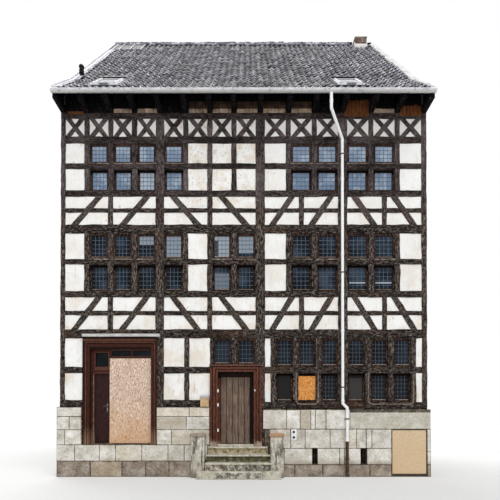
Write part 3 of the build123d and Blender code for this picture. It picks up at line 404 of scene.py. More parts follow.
def pier_stone(name):
    """Pale piers with dark streaks; the right cap is orange with lichen."""
    m = Finish(name, rough=0.92)
    m.base(m.noise(6.0, detail=8.0, roughness=0.75), ("a49c8d", "cdc6b7", "eae6db"), (0.36, 0.5, 0.64))
    streaks = m.spots(0.49, 0.57, 7.0, (1.6, 1.6, 0.22), detail=7.0, roughness=0.75, shift=(7, 1, 1))
    m.over(streaks, "4a4334", 0.85)
    m.over(m.spots(0.58, 0.66, 26.0, detail=5.0, shift=(3, 3, 3)), "3f392c", 0.6)
    high = m.mask(m.along("Z"), 1.16, 1.20)
    m.over(high, "8e8270", 0.7)
    right = m.both(high, m.mask(m.along("X"), 0.2, 0.3))
    m.over(m.both(right, m.spots(0.42, 0.5, 9.0, detail=5.0, shift=(1, 6, 2))), "b98656", 0.9)
    m.over(m.mask(m.along("Z"), 0.35, 0.05), "4b4632", 0.6)
    m.over(m.spots(0.6, 0.66, 40.0, shift=(2, 2, 7)), "f2eee2", 0.5)
    return m.bump(m.noise(20.0, detail=8.0, roughness=0.7), 0.6, 0.012).done()


def rendered_wall(name):
    """Grey render with long stains, and black painted shade where it ends under the eaves."""
    m = Finish(name, rough=0.93)
    m.base(m.noise(0.6, detail=6.0), ("a8a095", "bdb6ab", "cfc9bf"), (0.3, 0.5, 0.7))
    m.over(m.spots(0.55, 0.72, 1.1, (1, 1, 0.25), detail=6.0, shift=(3, 3, 3)), "8d8477", 0.5)
    m.over(m.mask(m.along("Z"), 1.4, 0.2), "7d7263", 0.55)
    # painted shade: black where the wall ends under the eaves
    ends = m.mask(m.math("ABSOLUTE", m.along("Y"), 0), 4.8, 4.9)
    m.over(m.both(ends, m.mask(m.along("Z"), 10.2, 10.3)), "0b0a0b")
    return m.bump(m.noise(9.0, detail=6.0), 0.3, 0.01).bump(m.noise(90.0), 0.25, 0.002).done()


def brickwork(name, tones=("3f322b", "786459", "b0a096"), joint="b3aaa0"):
    """Weathered bricks with rests of joint on them."""
    m = Finish(name, rough=0.9)
    m.base(m.noise(5.0, detail=5.0), tones, (0.3, 0.5, 0.72))
    m.each(0.25, 0.25)
    m.over(m.spots(0.6, 0.7, 20.0, detail=5.0, shift=(3, 1, 1)), joint, 0.6)
    return m.bump(m.noise(50.0), 0.4, 0.003).done()


OAK = ("4a3524", "6e5139", "8f6f52")
# near-black tones that stand for painted shade under the eaves
SHADE_BLACK = ("060507", "0a090d", "121015")
MAKERS = {  # name: maker, what it takes, and what it takes by name
    "timber_upright": (aged_timber, "Z"),
    "timber_level": (aged_timber, "X", ("0d0a09", "272120", "6b6159"), ("251f20", "3c3434", "5a5051")),
    "timber_slant": (aged_timber,),
    "timber_inner": (aged_timber, "", OAK, OAK, {"sooty": True}),
    "window_timber": (aged_timber, "Z", ("16100e", "33241e", "5c463b"), ("2b1f1d", "40302d", "58453f"),
                      "5f3522", {"worn": 0.3, "heads": (3.09, 6.36, 9.24)}),
    # soffit, eaves boards, eaves ends and the boarding seen between the tiles: near-black painted shade
    "soffit_timber": (aged_timber, "Y", SHADE_BLACK, SHADE_BLACK, "15100e"),
    # near-black painted shade: the infill under the eaves and the frame of the recessed cellar hatch
    "eaves_black": (aged_timber, "Z", ("0a0808", "151110", "2b2421"), ("080709", "0f0d10", "1a171a"), "241811"),
    "cornice_back": (aged_timber, "X", ("1b1716", "3b3431", "6d645c")),
    # lighter tones: painted highlight on the round beads
    "bead_wood": (aged_timber, "", ("5a4c41", "85766a", "b3a492"), ("5a4c41", "7b6d62", "a09182")),
    "worn_sill": (aged_timber, "X", ("3d352e", "7d7163", "b3a898"), ("4f4542", "6f6460", "8d837c")),
    "lime_plaster": (lime_plaster,),
    "ashlar": (ashlar_stone, ("bfb7a8", "dfdad0", "f6f3ed")),
    "mortar": (ashlar_stone, ("2e2822", "4d443a", "7c7163"), {"vary": 0, "brown": "3a3028"}),
    "lintel_stone": (ashlar_stone, ("b3ad9c", "c9c4b6", "dbd8ce"), {"vary": 0}),
    "foot_stone": (ashlar_stone, ("6f6154", "97897b", "bdb2a5"), "443d30", -1, 0.12),
    "verge_mortar": (ashlar_stone, ("d2d0cd", "eceae8", "fbfbfa"), "a39c92", {"vary": 0}),
    "chimney_cement": (ashlar_stone, ("5e5249", "7d7066", "a39a90"), {"vary": 0}),
    "step_stone": (step_stone,),
    "pier_stone": (pier_stone,),
    "party_render": (rendered_wall,),
    "brick": (brickwork,),
    "infill_brick": (brickwork, ("7c6656", "a18a76", "c7b6a2"), "dccfbd"),
    "brown_brick": (brickwork, ("251912", "3f2c20", "60483a"), "6a5647"),
    "pantile": (clay_tile,),
    "ridge_clay": (clay_tile, False),
    "portal_paint": (painted_wood, ("230e0a", "3f1d15", "5a3024"), "8c6d58",
                     {"foot": (0.98, 1.5), "dark": portal_shade}),
    # a lighter copy of the portal paint: painted highlight on raised bands and lit inner frames
    "portal_band": (painted_wood, ("371c15", "553328", "77523f"), "9c7a64", {"foot": (0.98, 1.5)}),
    # near-black: painted shade in each groove and gap, under the drip board and under the cornice
    "joinery_groove": (painted_wood, ("070404", "0f0807", "1a0f0c"), "2e1d17"),
    "doorcase_paint": (painted_wood, ("34170f", "5b3022", "824f3c"), "b5a390",
                       {"foot": (0.96, 1.1), "dark": doorcase_shade}),
    # a lighter copy of the doorcase paint: painted highlight on the edges
    "doorcase_edge": (painted_wood, ("4d2c20", "70483a", "96705d"), "b5a390", {"foot": (0.96, 1.1)}),
    "cornice_paint": (painted_wood, ("a3a09e", "c9c7c5", "efeeec"), "6c5a50", (0.8, 9, 9)),
    "shop_leaf_paint": (painted_wood, ("20100e", "301b19", "402a28"), "4d3834"),
    "plank_paint": (painted_wood, ("493930", "705d50", "968473"), "a7988a", (9, 9, 0.5), (0.8, 1.0)),
    "sash_paint": (painted_wood, ("160e0c", "2a1c17", "43312a"), "6a574c"),
    "sash_drip": (painted_wood, ("5a4a40", "8a7a6f", "b8ab9f"), "cfc5b9", (2.5, 9, 9)),
    "curtain_bar": (painted_wood, ("93a0a8", "b4bfc6", "d0d8dc"), "dfe5e8", (0.8, 9, 9)),
    "rust_board": (painted_wood, ("3a2012", "643a20", "8c5c33"), "a8744a", (9, 9, 1.0)),
    "portal_board": (chipboard, ("b4927a", "d3b8a2", "efe0d2"), 1.0, 0.1, "d29a5c", "8f6b53"),
    "raw_board": (chipboard, ("b0621f", "dc9244", "f3bb78"), 0.9, 1.3, None, "7d3d0f"),
    "plain_board": (chipboard, ("c6ae8e", "d8c4a6", "e8d8be"), 0.1, 0.0, "d6b487", "a88a68"),
    "window_glass": (window_glass,),
    "weathered_zinc": (zinc,),
    "gutter_zinc": (zinc, ("bcbcbf", "dedee1", "f6f6f7"), "c2c0bd"),
    # brighter tones: painted highlight along the rolled bead of the gutters
    "gutter_bead": (zinc, ("d6d6d8", "ececee", "fafafa")),
    "skylight_paint": (zinc, ("d2d3d6", "e6e7ea", "f7f7f8")),
    "dark_zinc": (zinc, ("25292b", "3a3f40", "535859")),
    "pale_zinc": (zinc, ("c4c6ca", "e2e3e6", "f4f4f5")),
    # lead cames darker on the lower storeys: painted shade
    "lead_came": (plain_metal, ("4a5763", "5f6d79", "7a8893"), 0.7, 0.1, {"low": "47515b"}),
    "black_metal": (plain_metal, ("0d0d0e", "161617", "242426"), 0.45),
    "iron": (plain_metal, ("3a2618", "4e3e2e", "6d5a48"), 0.75, 0.4, "5a3018"),
    "white_pipe": (plain_metal, ("eeeeee", "fafafa", "ffffff"), 0.45, 0.0),
    "letterbox_paint": (plain_metal, ("b08f63", "c9ab80", "dcc39e"), 0.5, 0.0, "8a6a44"),
    "worn_metal": (plain_metal, ("4c4a48", "77736f", "a5a19c"), 0.45, 0.7),
}


FINISHES = {}


def finish(name):
    """The material of that name, made the first time it is asked for."""
    if name not in FINISHES:
        maker, *given = MAKERS[name]
        named = given.pop() if given and isinstance(given[-1], dict) else {}
        FINISHES[name] = maker(name, *given, **named)
    return FINISHES[name]


# ---------------------------------------------------------------- workshop helpers


WELD_WITHIN = 0.00005


def deselect():
    if bpy.context.object and bpy.context.object.mode != "OBJECT":
        bpy.ops.object.mode_set(mode="OBJECT")
    bpy.ops.object.select_all(action="DESELECT")


def only(*objects):
    deselect()
    for o in objects:
        o.select_set(True)
    bpy.context.view_layer.objects.active = objects[0]


def modified(obj, kind, **values):
    """Adds a modifier, sets it and applies it."""
    only(obj)
    bpy.ops.object.modifier_add(type=kind)
    modifier = obj.modifiers[-1]
    for key, value in values.items():
        setattr(modifier, key, value)
    bpy.ops.object.modifier_apply(modifier=modifier.name)
    return obj


def bevelled(obj, width, segments=2):
    return modified(obj, "BEVEL", width=width, segments=segments, limit_method="ANGLE")


def copied(source, matrix):
    made = source.copy()
    made.data = source.data.copy()
    made.data.transform(matrix)
    bpy.context.scene.collection.objects.link(made)
    return made


def joined(name, objects):
    only(*objects)
    if len(objects) > 1:
        bpy.ops.object.join()
    obj = bpy.context.object
    obj.name = obj.data.name = name
    return obj


def laid(name, source, places):
    """Copies of source at each matrix, joined as one piece."""
    obj = joined(name, [copied(source, m) for m in places])
    bpy.data.objects.remove(source)
    return obj


def span(lo, hi):
    """What makes a unit cube reach from corner to corner."""
    lo, hi = Vector(lo), Vector(hi)
    return Matrix.Translation((lo + hi) / 2) @ Matrix.Diagonal((*(hi - lo), 1))


def bars(name, spans, bevel=0.0, segments=1):
    """Boxes copied from one cube; bevel rounds their edges."""
    deselect()
    bpy.ops.mesh.primitive_cube_add(size=1)
    obj = laid(name, bpy.context.object, spans)
    return bevelled(obj, bevel, segments) if bevel else obj


def plate(points, depth, place):
    """A flat outline (x, z) pushed back by depth along y, then placed."""
    deselect()
    bpy.ops.mesh.primitive_circle_add(vertices=len(points), fill_type="NGON")
    obj = bpy.context.object
    for vertex, (x, z) in zip(obj.data.vertices, points):
        vertex.co = (x, 0, z)
    bpy.ops.object.mode_set(mode="EDIT")
    bpy.ops.mesh.select_all(action="SELECT")
    bpy.ops.mesh.extrude_region_move(TRANSFORM_OT_translate={"value": (0, depth, 0)})
    bpy.ops.mesh.select_all(action="SELECT")
    bpy.ops.mesh.normals_make_consistent(inside=False)
    bpy.ops.object.mode_set(mode="OBJECT")
    obj.data.transform(place)
    return obj


def rod(start, end, radius, sides=16):
    """A round bar from point to point."""
    start, end = Vector(start), Vector(end)
    way = end - start
    deselect()
    bpy.ops.mesh.primitive_cylinder_add(vertices=sides, radius=radius, depth=way.length)
    obj = bpy.context.object
    turn = way.to_track_quat("Z", "Y").to_matrix().to_4x4()
    obj.data.transform(Matrix.Translation((start + end) / 2) @ turn)
    return obj


def piece(obj, name, material, slot, body=HOUSE_BODY, replaces=(), smooth=None):
    """Names, finishes and seats a new piece."""
    only(obj)
    bpy.ops.object.transform_apply(location=True, rotation=True, scale=True)
    obj.name = obj.data.name = name
    obj.data.materials.clear()
    obj.data.materials.append(finish(material))
    if smooth is not None:
        bpy.ops.object.shade_smooth_by_angle(angle=math.radians(smooth))
    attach(obj, body)
    if replaces:
        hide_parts(*replaces)
    return obj


def trim(name, spans, bevel, material, slot, segments=1, rough=None, floor=None, **seat):
    """A piece of boxes; rough is the size, strength and levels of its wear, floor its lowest point."""
    obj = bars(name, spans, bevel, segments)
    if rough:
        roughened(obj, *rough)
    if floor is not None:
        for vertex in obj.data.vertices:
            vertex.co.z = max(vertex.co.z, floor)
    return piece(obj, name, material, slot, **seat)


def gathered(name, parts, material, slot, **seat):
    """A piece joined from parts."""
    return piece(joined(name, parts), name, material, slot, **seat)


def twin(node, name):
    """A welded copy of a CAD node's mesh as a piece of its own."""
    obj = bpy.data.objects.new(name, NODES[node].data.copy())
    bpy.context.scene.collection.objects.link(obj)
    return modified(obj, "WELD", merge_threshold=WELD_WITHIN)


def wandered(obj, size, strength, middle=0.5):
    """Moves the surface in and out by a cloud pattern."""
    clouds = bpy.data.textures.new("clouds", "CLOUDS")
    clouds.noise_scale = size
    clouds.noise_depth = 2
    return modified(obj, "DISPLACE", texture=clouds, texture_coords="GLOBAL", mid_level=middle,
                    strength=strength)


def roughened(obj, size, strength, levels):
    """Divides the faces and moves them by a cloud pattern, as hand work and weather do."""
    modified(obj, "SUBSURF", subdivision_type="SIMPLE", levels=levels, render_levels=levels)
    return wandered(obj, size, strength)


def divided(obj, length):
    """Merges flat faces, then halves every edge longer than length until none is left."""
    only(obj)
    bpy.ops.object.mode_set(mode="EDIT")
    bpy.ops.mesh.select_all(action="SELECT")
    bpy.ops.mesh.dissolve_limited(angle_limit=0.01)
    bpy.ops.mesh.select_mode(type="EDGE")
    for _ in range(7):
        bpy.ops.mesh.select_all(action="DESELECT")
        bpy.ops.object.mode_set(mode="OBJECT")
        points, many = obj.data.vertices, 0
        for edge in obj.data.edges:
            a, b = edge.vertices
            edge.select = (points[a].co - points[b].co).length > length
            many += edge.select
        bpy.ops.object.mode_set(mode="EDIT")
        if not many:
            break
        bpy.ops.mesh.subdivide(number_cuts=1)
    bpy.ops.mesh.select_mode(type="VERT")
    bpy.ops.object.mode_set(mode="OBJECT")
    return obj


def islands(node):
    """The lowest and highest corner of each solid of a CAD node, left to right."""
    mesh = NODES[node].data
    key, parent = {}, []

    def find(i):
        while parent[i] != i:
            parent[i] = parent[parent[i]]
            i = parent[i]
        return i

    index = []
    for v in mesh.vertices:
        k = tuple(round(c, 5) for c in v.co)
        if k not in key:
            key[k] = len(parent)
            parent.append(len(parent))
        index.append(key[k])
    for polygon in mesh.polygons:
        first = find(index[polygon.vertices[0]])
        for other in polygon.vertices[1:]:
            parent[find(index[other])] = first
            first = find(first)
    groups = {}
    for k, i in key.items():
        groups.setdefault(find(i), []).append(k)
    found = [(Vector(map(min, zip(*points))), Vector(map(max, zip(*points)))) for points in groups.values()]
    return sorted(found, key=lambda b: (round(b[0].x, 3), round(b[0].z, 3)))


# ---------------------------------------------------------------- sizes a user would change


def metres(name, description, default, least):
    return bpy.props.FloatProperty(name=name, description=description, default=default, min=least,
                                   unit="LENGTH")


class HouseSizes(bpy.types.PropertyGroup):
    tile_pitch: metres("Tile pitch", "Width of one tile column", 0.2072, 0.1)
    tile_exposure: metres("Tile exposure", "Height of one tile course along the slope", 0.31, 0.15)
    tile_roll: metres("Tile roll", "Height of the roll of a tile", 0.045, 0.01)
    came_width: metres("Came width", "Width of the bars in the leaded lights", 0.010, 0.004)
    sash_width: metres("Sash width", "Width of the opening sash around each pane", 0.010, 0.004)
    stone_joint: metres("Stone joint", "Width of the joints of the plinth", 0.020, 0.002)
    camera_distance: metres("Camera distance", "From the street face to the camera", 12.0, 3.0)
    camera_height: metres("Camera height", "Above the pavement", 1.55, 0.3)


def sizes():
    return bpy.context.scene.house_sizes


# ---------------------------------------------------------------- finishes on the CAD pieces


CAD_FINISHES = {
    "mortar": "plinth_front plinth_rear", "lintel_stone": "cellar_lintel", "step_stone": "door_steps",
    "pier_stone": "step_cheeks", "party_render": "party_wall_left party_wall_right",
    "timber_upright": "front_posts front_studs rear_timbers", "timber_level": "front_beams front_rails",
    "timber_slant": "front_braces", "timber_inner": "floor_boards floor_joists roof_timbers",
    "soffit_timber": "attic_joists", "eaves_black": "eaves_infill hatch_frame",
    "lime_plaster": "front_panels brace_band_panels rear_panels",
    "window_timber": "window_frames_ground window_frames_upper rear_window_frames",
    "window_glass": "window_glass rear_window_glass", "portal_board": "chipboards",
    "portal_paint": "portal_frame", "cornice_paint": "portal_cornice", "shop_leaf_paint": "portal_door",
    "doorcase_paint": "entrance_frame", "plank_paint": "entrance_door", "letterbox_paint": "letterbox",
    "pantile": "roof_cover_front roof_cover_rear ridge_tiles",
    "weathered_zinc": "verge_flashings pipe_brackets",
    "skylight_paint": "skylight_frames", "brick": "chimney", "black_metal": "vent_pipe",
    "gutter_zinc": "gutters", "white_pipe": "downpipe", "iron": "downpipe_foot",
}
ROUNDED = {  # width of the worn edge
    0.004: "portal_cornice window_frames_upper window_frames_ground rear_window_frames front_panels"
           " brace_band_panels rear_panels",
    0.006: "rear_timbers", 0.008: "attic_joists", 0.01: "letterbox", 0.012: "cellar_lintel",
}


class HOUSE_OT_finishes(bpy.types.Operator):
    """Gives every CAD piece its material and softens the edges of worked timber and stone"""
    bl_idname = "house.finishes"
    bl_label = "Finishes"

    def execute(self, context):
        for name, nodes in CAD_FINISHES.items():
            for node in nodes.split():
                slots = NODES[node].data.materials
                slots.clear()
                slots.append(finish(name))
        for width, nodes in ROUNDED.items():
            for node in nodes.split():
                modifiers = NODES[node].modifiers
                modifiers.new("weld", "WELD").merge_threshold = WELD_WITHIN
                bevel = modifiers.new("worn_edge", "BEVEL")
                bevel.width = width
                bevel.segments = 2 if width > 0.01 else 1
                bevel.limit_method = "ANGLE"
        return {"FINISHED"}


class HOUSE_OT_timbers(bpy.types.Operator):
    """Hewn timbers of the street wall, whose edges wander and are worn round"""
    bl_idname = "house.timbers"
    bl_label = "Hewn timbers"

    def execute(self, context):
        for kind, way in (("posts", "upright"), ("beams", "level"), ("rails", "level"), ("studs", "upright"),
                          ("braces", "slant")):
            node, name = "front_" + kind, "hewn_" + kind
            obj = bevelled(divided(twin(node, name), 0.2), 0.008, 1)
            wandered(obj, 0.30, 0.040, 0.32)
            piece(obj, name, "timber_" + way, "timber", replaces=(node,), smooth=35)
        return {"FINISHED"}


# ---------------------------------------------------------------- roof


class Slope:
    """One side of the roof: where a piece goes by its place along the fall of the tiles."""

    def __init__(self, side):
        self.side = side
        cover = islands("roof_cover_front")
        eaves = min(lo.y for lo, hi in cover)
        bend = max((hi for lo, hi in cover if lo.y < eaves + 0.01), key=lambda p: p.y)
        ridge = max(hi.z for lo, hi in cover)
        self.points = [(-eaves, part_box("verge_flashings")[0].z), (-bend.y, bend.z), (0.0, ridge)]
        (y0, z0), (y1, z1) = self.stretch(0)
        self.foot = math.hypot(y0 - y1, z1 - z0)
        self.length = self.run(0.0)

    def stretch(self, above):
        """Both ends, as (y, z), of the flared foot or of what is above the bend."""
        return self.points[above:above + 2]

    def run(self, y):
        """Distance up the slope from the eaves to the place at that y."""
        above = abs(y) <= self.points[1][0]
        (y0, z0), (y1, z1) = self.stretch(above)
        return above * self.foot + math.hypot(y0 - y1, z1 - z0) * (y0 - abs(y)) / (y0 - y1)

    def surface(self, y):
        """Height of the slope at that y."""
        (y0, z0), (y1, z1) = self.stretch(abs(y) <= self.points[1][0])
        return z0 + (z1 - z0) * (y0 - abs(y)) / (y0 - y1)

    def place(self, x, run, lift=0.0, middle=None):
        """Frame on the tiles: x along the eaves, y up the slope, z away from the roof."""
        above = (run if middle is None else middle) >= self.foot
        (y0, z0), (y1, z1) = self.stretch(above)
        gone = run - above * self.foot
        rise, back = z1 - z0, y0 - y1
        size = math.hypot(rise, back)
        c, s = back / size, rise / size
        far, height = y0 - c * gone + s * lift, z0 + s * gone + c * lift
        way = -self.side
        return Matrix(((way, 0, 0, x), (0, way * c, -way * s, -way * far), (0, s, c, height), (0, 0, 0, 1)))

    def slab(self, x0, x1, run0, run1, low, high):
        """A unit cube's matrix for a flat piece lying on the slope."""
        at = self.place((x0 + x1) / 2, run0, 0.0, middle=(run0 + run1) / 2)
        return at @ span((-(x1 - x0) / 2, 0, low), ((x1 - x0) / 2, run1 - run0, high))


TILE_SINK = 0.040
TILE_THICK = 0.014
TILE_LAP = 0.07
TILE_TILT = 0.030
TILE_WIDER = 1.04  # how far each tile laps its neighbour
EAVES_DROP = 0.035  # how far the lowest row hangs over
VERGE_FREE = 0.10
BOARDING_SINK = 0.075
COVER_SIDES = {"front": -1, "rear": 1}


def pantile(pitch, length, roll):
    """One clay pantile: a shallow trough and one roll, thick at its edges."""
    deselect()
    bpy.ops.mesh.primitive_grid_add(x_subdivisions=8, y_subdivisions=1, size=1)
    obj = bpy.context.object
    for vertex in obj.data.vertices:
        across, up = vertex.co.x + 0.5, vertex.co.y + 0.5
        wave = (0.5 - 0.5 * math.cos(2 * math.pi * across ** 1.25)) ** 2.4
        vertex.co = ((across - 0.5) * pitch * TILE_WIDER, up * length, roll * wave + (1 - up) * TILE_TILT)
    obj.data.uv_layers[0].name = TILE_MAP
    return modified(obj, "SOLIDIFY", thickness=TILE_THICK, offset=-1.0)


def roof_holes(side):
    """The places that tiles leave free, as (x0, x1, low y, high y) of the distance from the ridge."""
    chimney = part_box("chimney")
    holes = [(chimney[0].x, chimney[1].x, -1.0, chimney[1].y)]
    if side < 0:
        holes += [(lo.x, hi.x, -hi.y, -lo.y) for lo, hi in islands("skylight_frames")]
    return holes


class HOUSE_OT_pantiles(bpy.types.Operator):
    """Lays pantiles over boarding on both slopes"""
    bl_idname = "house.pantiles"
    bl_label = "Pantiles"

    def execute(self, context):
        values = sizes()
        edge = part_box("verge_flashings")[1].x - VERGE_FREE
        columns = round(2 * edge / values.tile_pitch)
        pitch = 2 * edge / columns
        for label, side in COVER_SIDES.items():
            slope, holes = Slope(side), roof_holes(side)
            rows = round(slope.length / values.tile_exposure)
            step = slope.length / rows
            rng = random.Random(41 + side)
            places = []
            for row in range(rows):
                run = row * step - (EAVES_DROP if row == 0 else 0)
                sag = [rng.uniform(-0.004, 0.004) for _ in range(3)]
                for column in range(columns):
                    x = -edge + (column + 0.5) * pitch
                    far = abs(slope.place(x, run + step / 2).translation.y)
                    if any(a < x < b and c < far < d for a, b, c, d in holes):
                        continue
                    wave = sag[0] * math.sin(x * 1.3 + sag[1] * 900) + sag[2]
                    at = slope.place(x + rng.gauss(0, 0.004), run + wave + rng.gauss(0, 0.009),
                                     -TILE_SINK + rng.gauss(0, 0.004), middle=run + step / 2)
                    places.append(at @ Matrix.Rotation(rng.gauss(0, 0.02), 4, "Z")
                                  @ Matrix.Rotation(rng.gauss(0, 0.02), 4, "Y"))
            cover = "roof_cover_" + label
            name = "pantiles_" + label
            tiles = laid(name, pantile(pitch, step + TILE_LAP, values.tile_roll), places)
            piece(tiles, name, "pantile", "roof_tile", replaces=(cover,), smooth=50)
            name = "roof_boarding_" + label
            boarding = twin(cover, name)
            for vertex in boarding.data.vertices:
                if vertex.co.z > slope.surface(vertex.co.y) - 0.02:
                    vertex.co.z -= BOARDING_SINK
            piece(boarding, name, "soffit_timber", "inner_timber", replaces=(cover,))
        return {"FINISHED"}


def half_shell(radius_y, radius_z, thick, steps=9):
    """Outline of a half round shell, as (y, z)."""
    turn = [math.pi * i / (steps - 1) for i in range(steps)]
    outer = [(radius_y * math.cos(t), radius_z * math.sin(t)) for t in turn]
    inner = [((radius_y - thick) * math.cos(t), (radius_z - thick) * math.sin(t)) for t in turn]
    return outer + inner[::-1]


ALONG_X = Matrix(((0, 1, 0, 0), (1, 0, 0, 0), (0, 0, 1, 0), (0, 0, 0, 1)))
RIDGE_TILES = 52
SHEET_SEAMS = (0.01, 0.42, 0.86, 1.30)  # from the left verge


class HOUSE_OT_ridge(bpy.types.Operator):
    """Half round ridge tiles, and the sheets that mend the left end of the ridge"""
    bl_idname = "house.ridge"
    bl_label = "Ridge"

    def execute(self, context):
        lo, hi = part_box("ridge_tiles")
        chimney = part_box("chimney")
        length = (hi.x - lo.x) / RIDGE_TILES
        cap = joined("ridge_cap", [
            plate(half_shell(hi.y, hi.z - lo.z - 0.075, 0.018), length + 0.01, ALONG_X),
            plate(half_shell(hi.y + 0.006, hi.z - lo.z - 0.052, 0.02), 0.06, ALONG_X)])
        rng = random.Random(7)
        places = []
        for i in range(RIDGE_TILES):
            x = lo.x + i * length
            if x + length > chimney[0].x and x < chimney[1].x:
                continue
            tilt = Matrix.Rotation(rng.gauss(0, 0.03), 4, "Y") @ Matrix.Rotation(rng.gauss(0, 0.012), 4, "Z")
            places.append(Matrix.Translation((x, 0, lo.z + 0.045 + rng.gauss(0, 0.004))) @ tilt)
        caps = laid("ridge_caps", cap, places)
        piece(caps, "ridge_caps", "ridge_clay", "roof_tile", replaces=("ridge_tiles",), smooth=45)

        slope = Slope(-1)
        top = slope.length - 0.10
        seams = [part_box("verge_flashings")[0].x + x for x in SHEET_SEAMS]
        trim("ridge_sheets", [slope.slab(a + 0.012, b - 0.012, top - 1.30 + 0.03 * i, top, 0.012, 0.020)
                              for i, (a, b) in enumerate(zip(seams, seams[1:]))],
             0.002, "dark_zinc", "sheet_metal")
        trim("ridge_sheet_seams", [slope.slab(x - 0.016, x + 0.016, top - 1.32, top + 0.02, 0.010, 0.045)
                                   for x in seams], 0.006, "pale_zinc", "sheet_metal")
        return {"FINISHED"}


class HOUSE_OT_verges(bpy.types.Operator):
    """Lapped zinc along the left verges and a mortar fillet along the right ones"""
    bl_idname = "house.verges"
    bl_label = "Verges"

    def execute(self, context):
        lo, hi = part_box("verge_flashings")
        wide = islands("verge_flashings")[0][1].x - lo.x
        rng = random.Random(3)
        strips, fillets = [], []
        for side in (-1, 1):
            slope = Slope(side)
            run, last = 0.0, slope.length - 0.13
            while run < last:
                end = min(run + rng.uniform(0.50, 0.72), last)
                sheet = slope.slab(lo.x, lo.x + wide + rng.uniform(0.06, 0.10), run, end + 0.05, 0.010, 0.018)
                strips.append(sheet @ Matrix.Rotation(-0.012, 4, "X"))
                strips.append(slope.slab(lo.x, lo.x + 0.03, run, end + 0.02, 0.0, 0.05))
                strips.append(slope.slab(lo.x + wide - 0.035, lo.x + wide, run, end + 0.02, 0.0, 0.036))
                run = end
            run = 0.45 if side < 0 else 0.05
            while run < last:
                end = min(run + rng.uniform(0.22, 0.42), last)
                left = hi.x - wide - 0.02 + rng.uniform(-0.05, 0.02)
                fillets.append(slope.slab(left, hi.x - 0.004, run, end + 0.03, -0.03, rng.uniform(0.03, 0.055)))
                run = end
        trim("verge_zinc", strips, 0.003, "pale_zinc", "sheet_metal")
        trim("verge_mortar", fillets, 0.022, "verge_mortar", "masonry", 2, (0.12, 0.03, 2), smooth=60)
        return {"FINISHED"}


class HOUSE_OT_skylights(bpy.types.Operator):
    """Flashings, sashes and hoods of the two roof lights"""
    bl_idname = "house.skylights"
    bl_label = "Skylights"

    def execute(self, context):
        slope = Slope(-1)
        aprons, sashes, hoods = [], [], []
        inset = 0.045
        for lo, hi in islands("skylight_frames"):
            left, right, low, high = lo.x, hi.x, slope.run(lo.y), slope.run(hi.y)
            for x0, x1, r0, r1 in ((left - 0.09, right + 0.09, low - 0.14, low + 0.01),
                                   (left - 0.09, left + 0.01, low - 0.14, high + 0.1),
                                   (right - 0.01, right + 0.09, low - 0.14, high + 0.1),
                                   (left - 0.09, right + 0.09, high - 0.01, high + 0.12)):
                aprons.append(slope.slab(x0, x1, r0, r1, 0.006, 0.016))
            hoods.append(slope.slab(left - 0.02, right + 0.02, high - 0.10, high + 0.03, 0.046, 0.085))
            hoods.append(slope.slab(left + 0.25, right - 0.25, low - 0.005, low + 0.04, 0.045, 0.06))
            left, right, low, high = left + inset, right - inset, low + inset, high - inset
            for x0, x1, r0, r1 in ((left, right, low, low + 0.05), (left, right, high - 0.05, high),
                                   (left, left + 0.045, low, high), (right - 0.045, right, low, high)):
                sashes.append(slope.slab(x0, x1, r0, r1, 0.02, 0.062))
        trim("skylight_flashings", aprons, 0.003, "dark_zinc", "sheet_metal")
        trim("skylight_sashes", sashes, 0.006, "skylight_paint", "skylight_metal")
        trim("skylight_hoods", hoods, 0.012, "black_metal", "skylight_metal", 2)
        return {"FINISHED"}


PIPE = Vector((2.94, FACE_Y - 0.09))
PIPE_FOOT = Vector((3.06, FACE_Y - 0.132))
SOCKETS = (2.22, 4.30, 6.60, 8.85, 9.98)


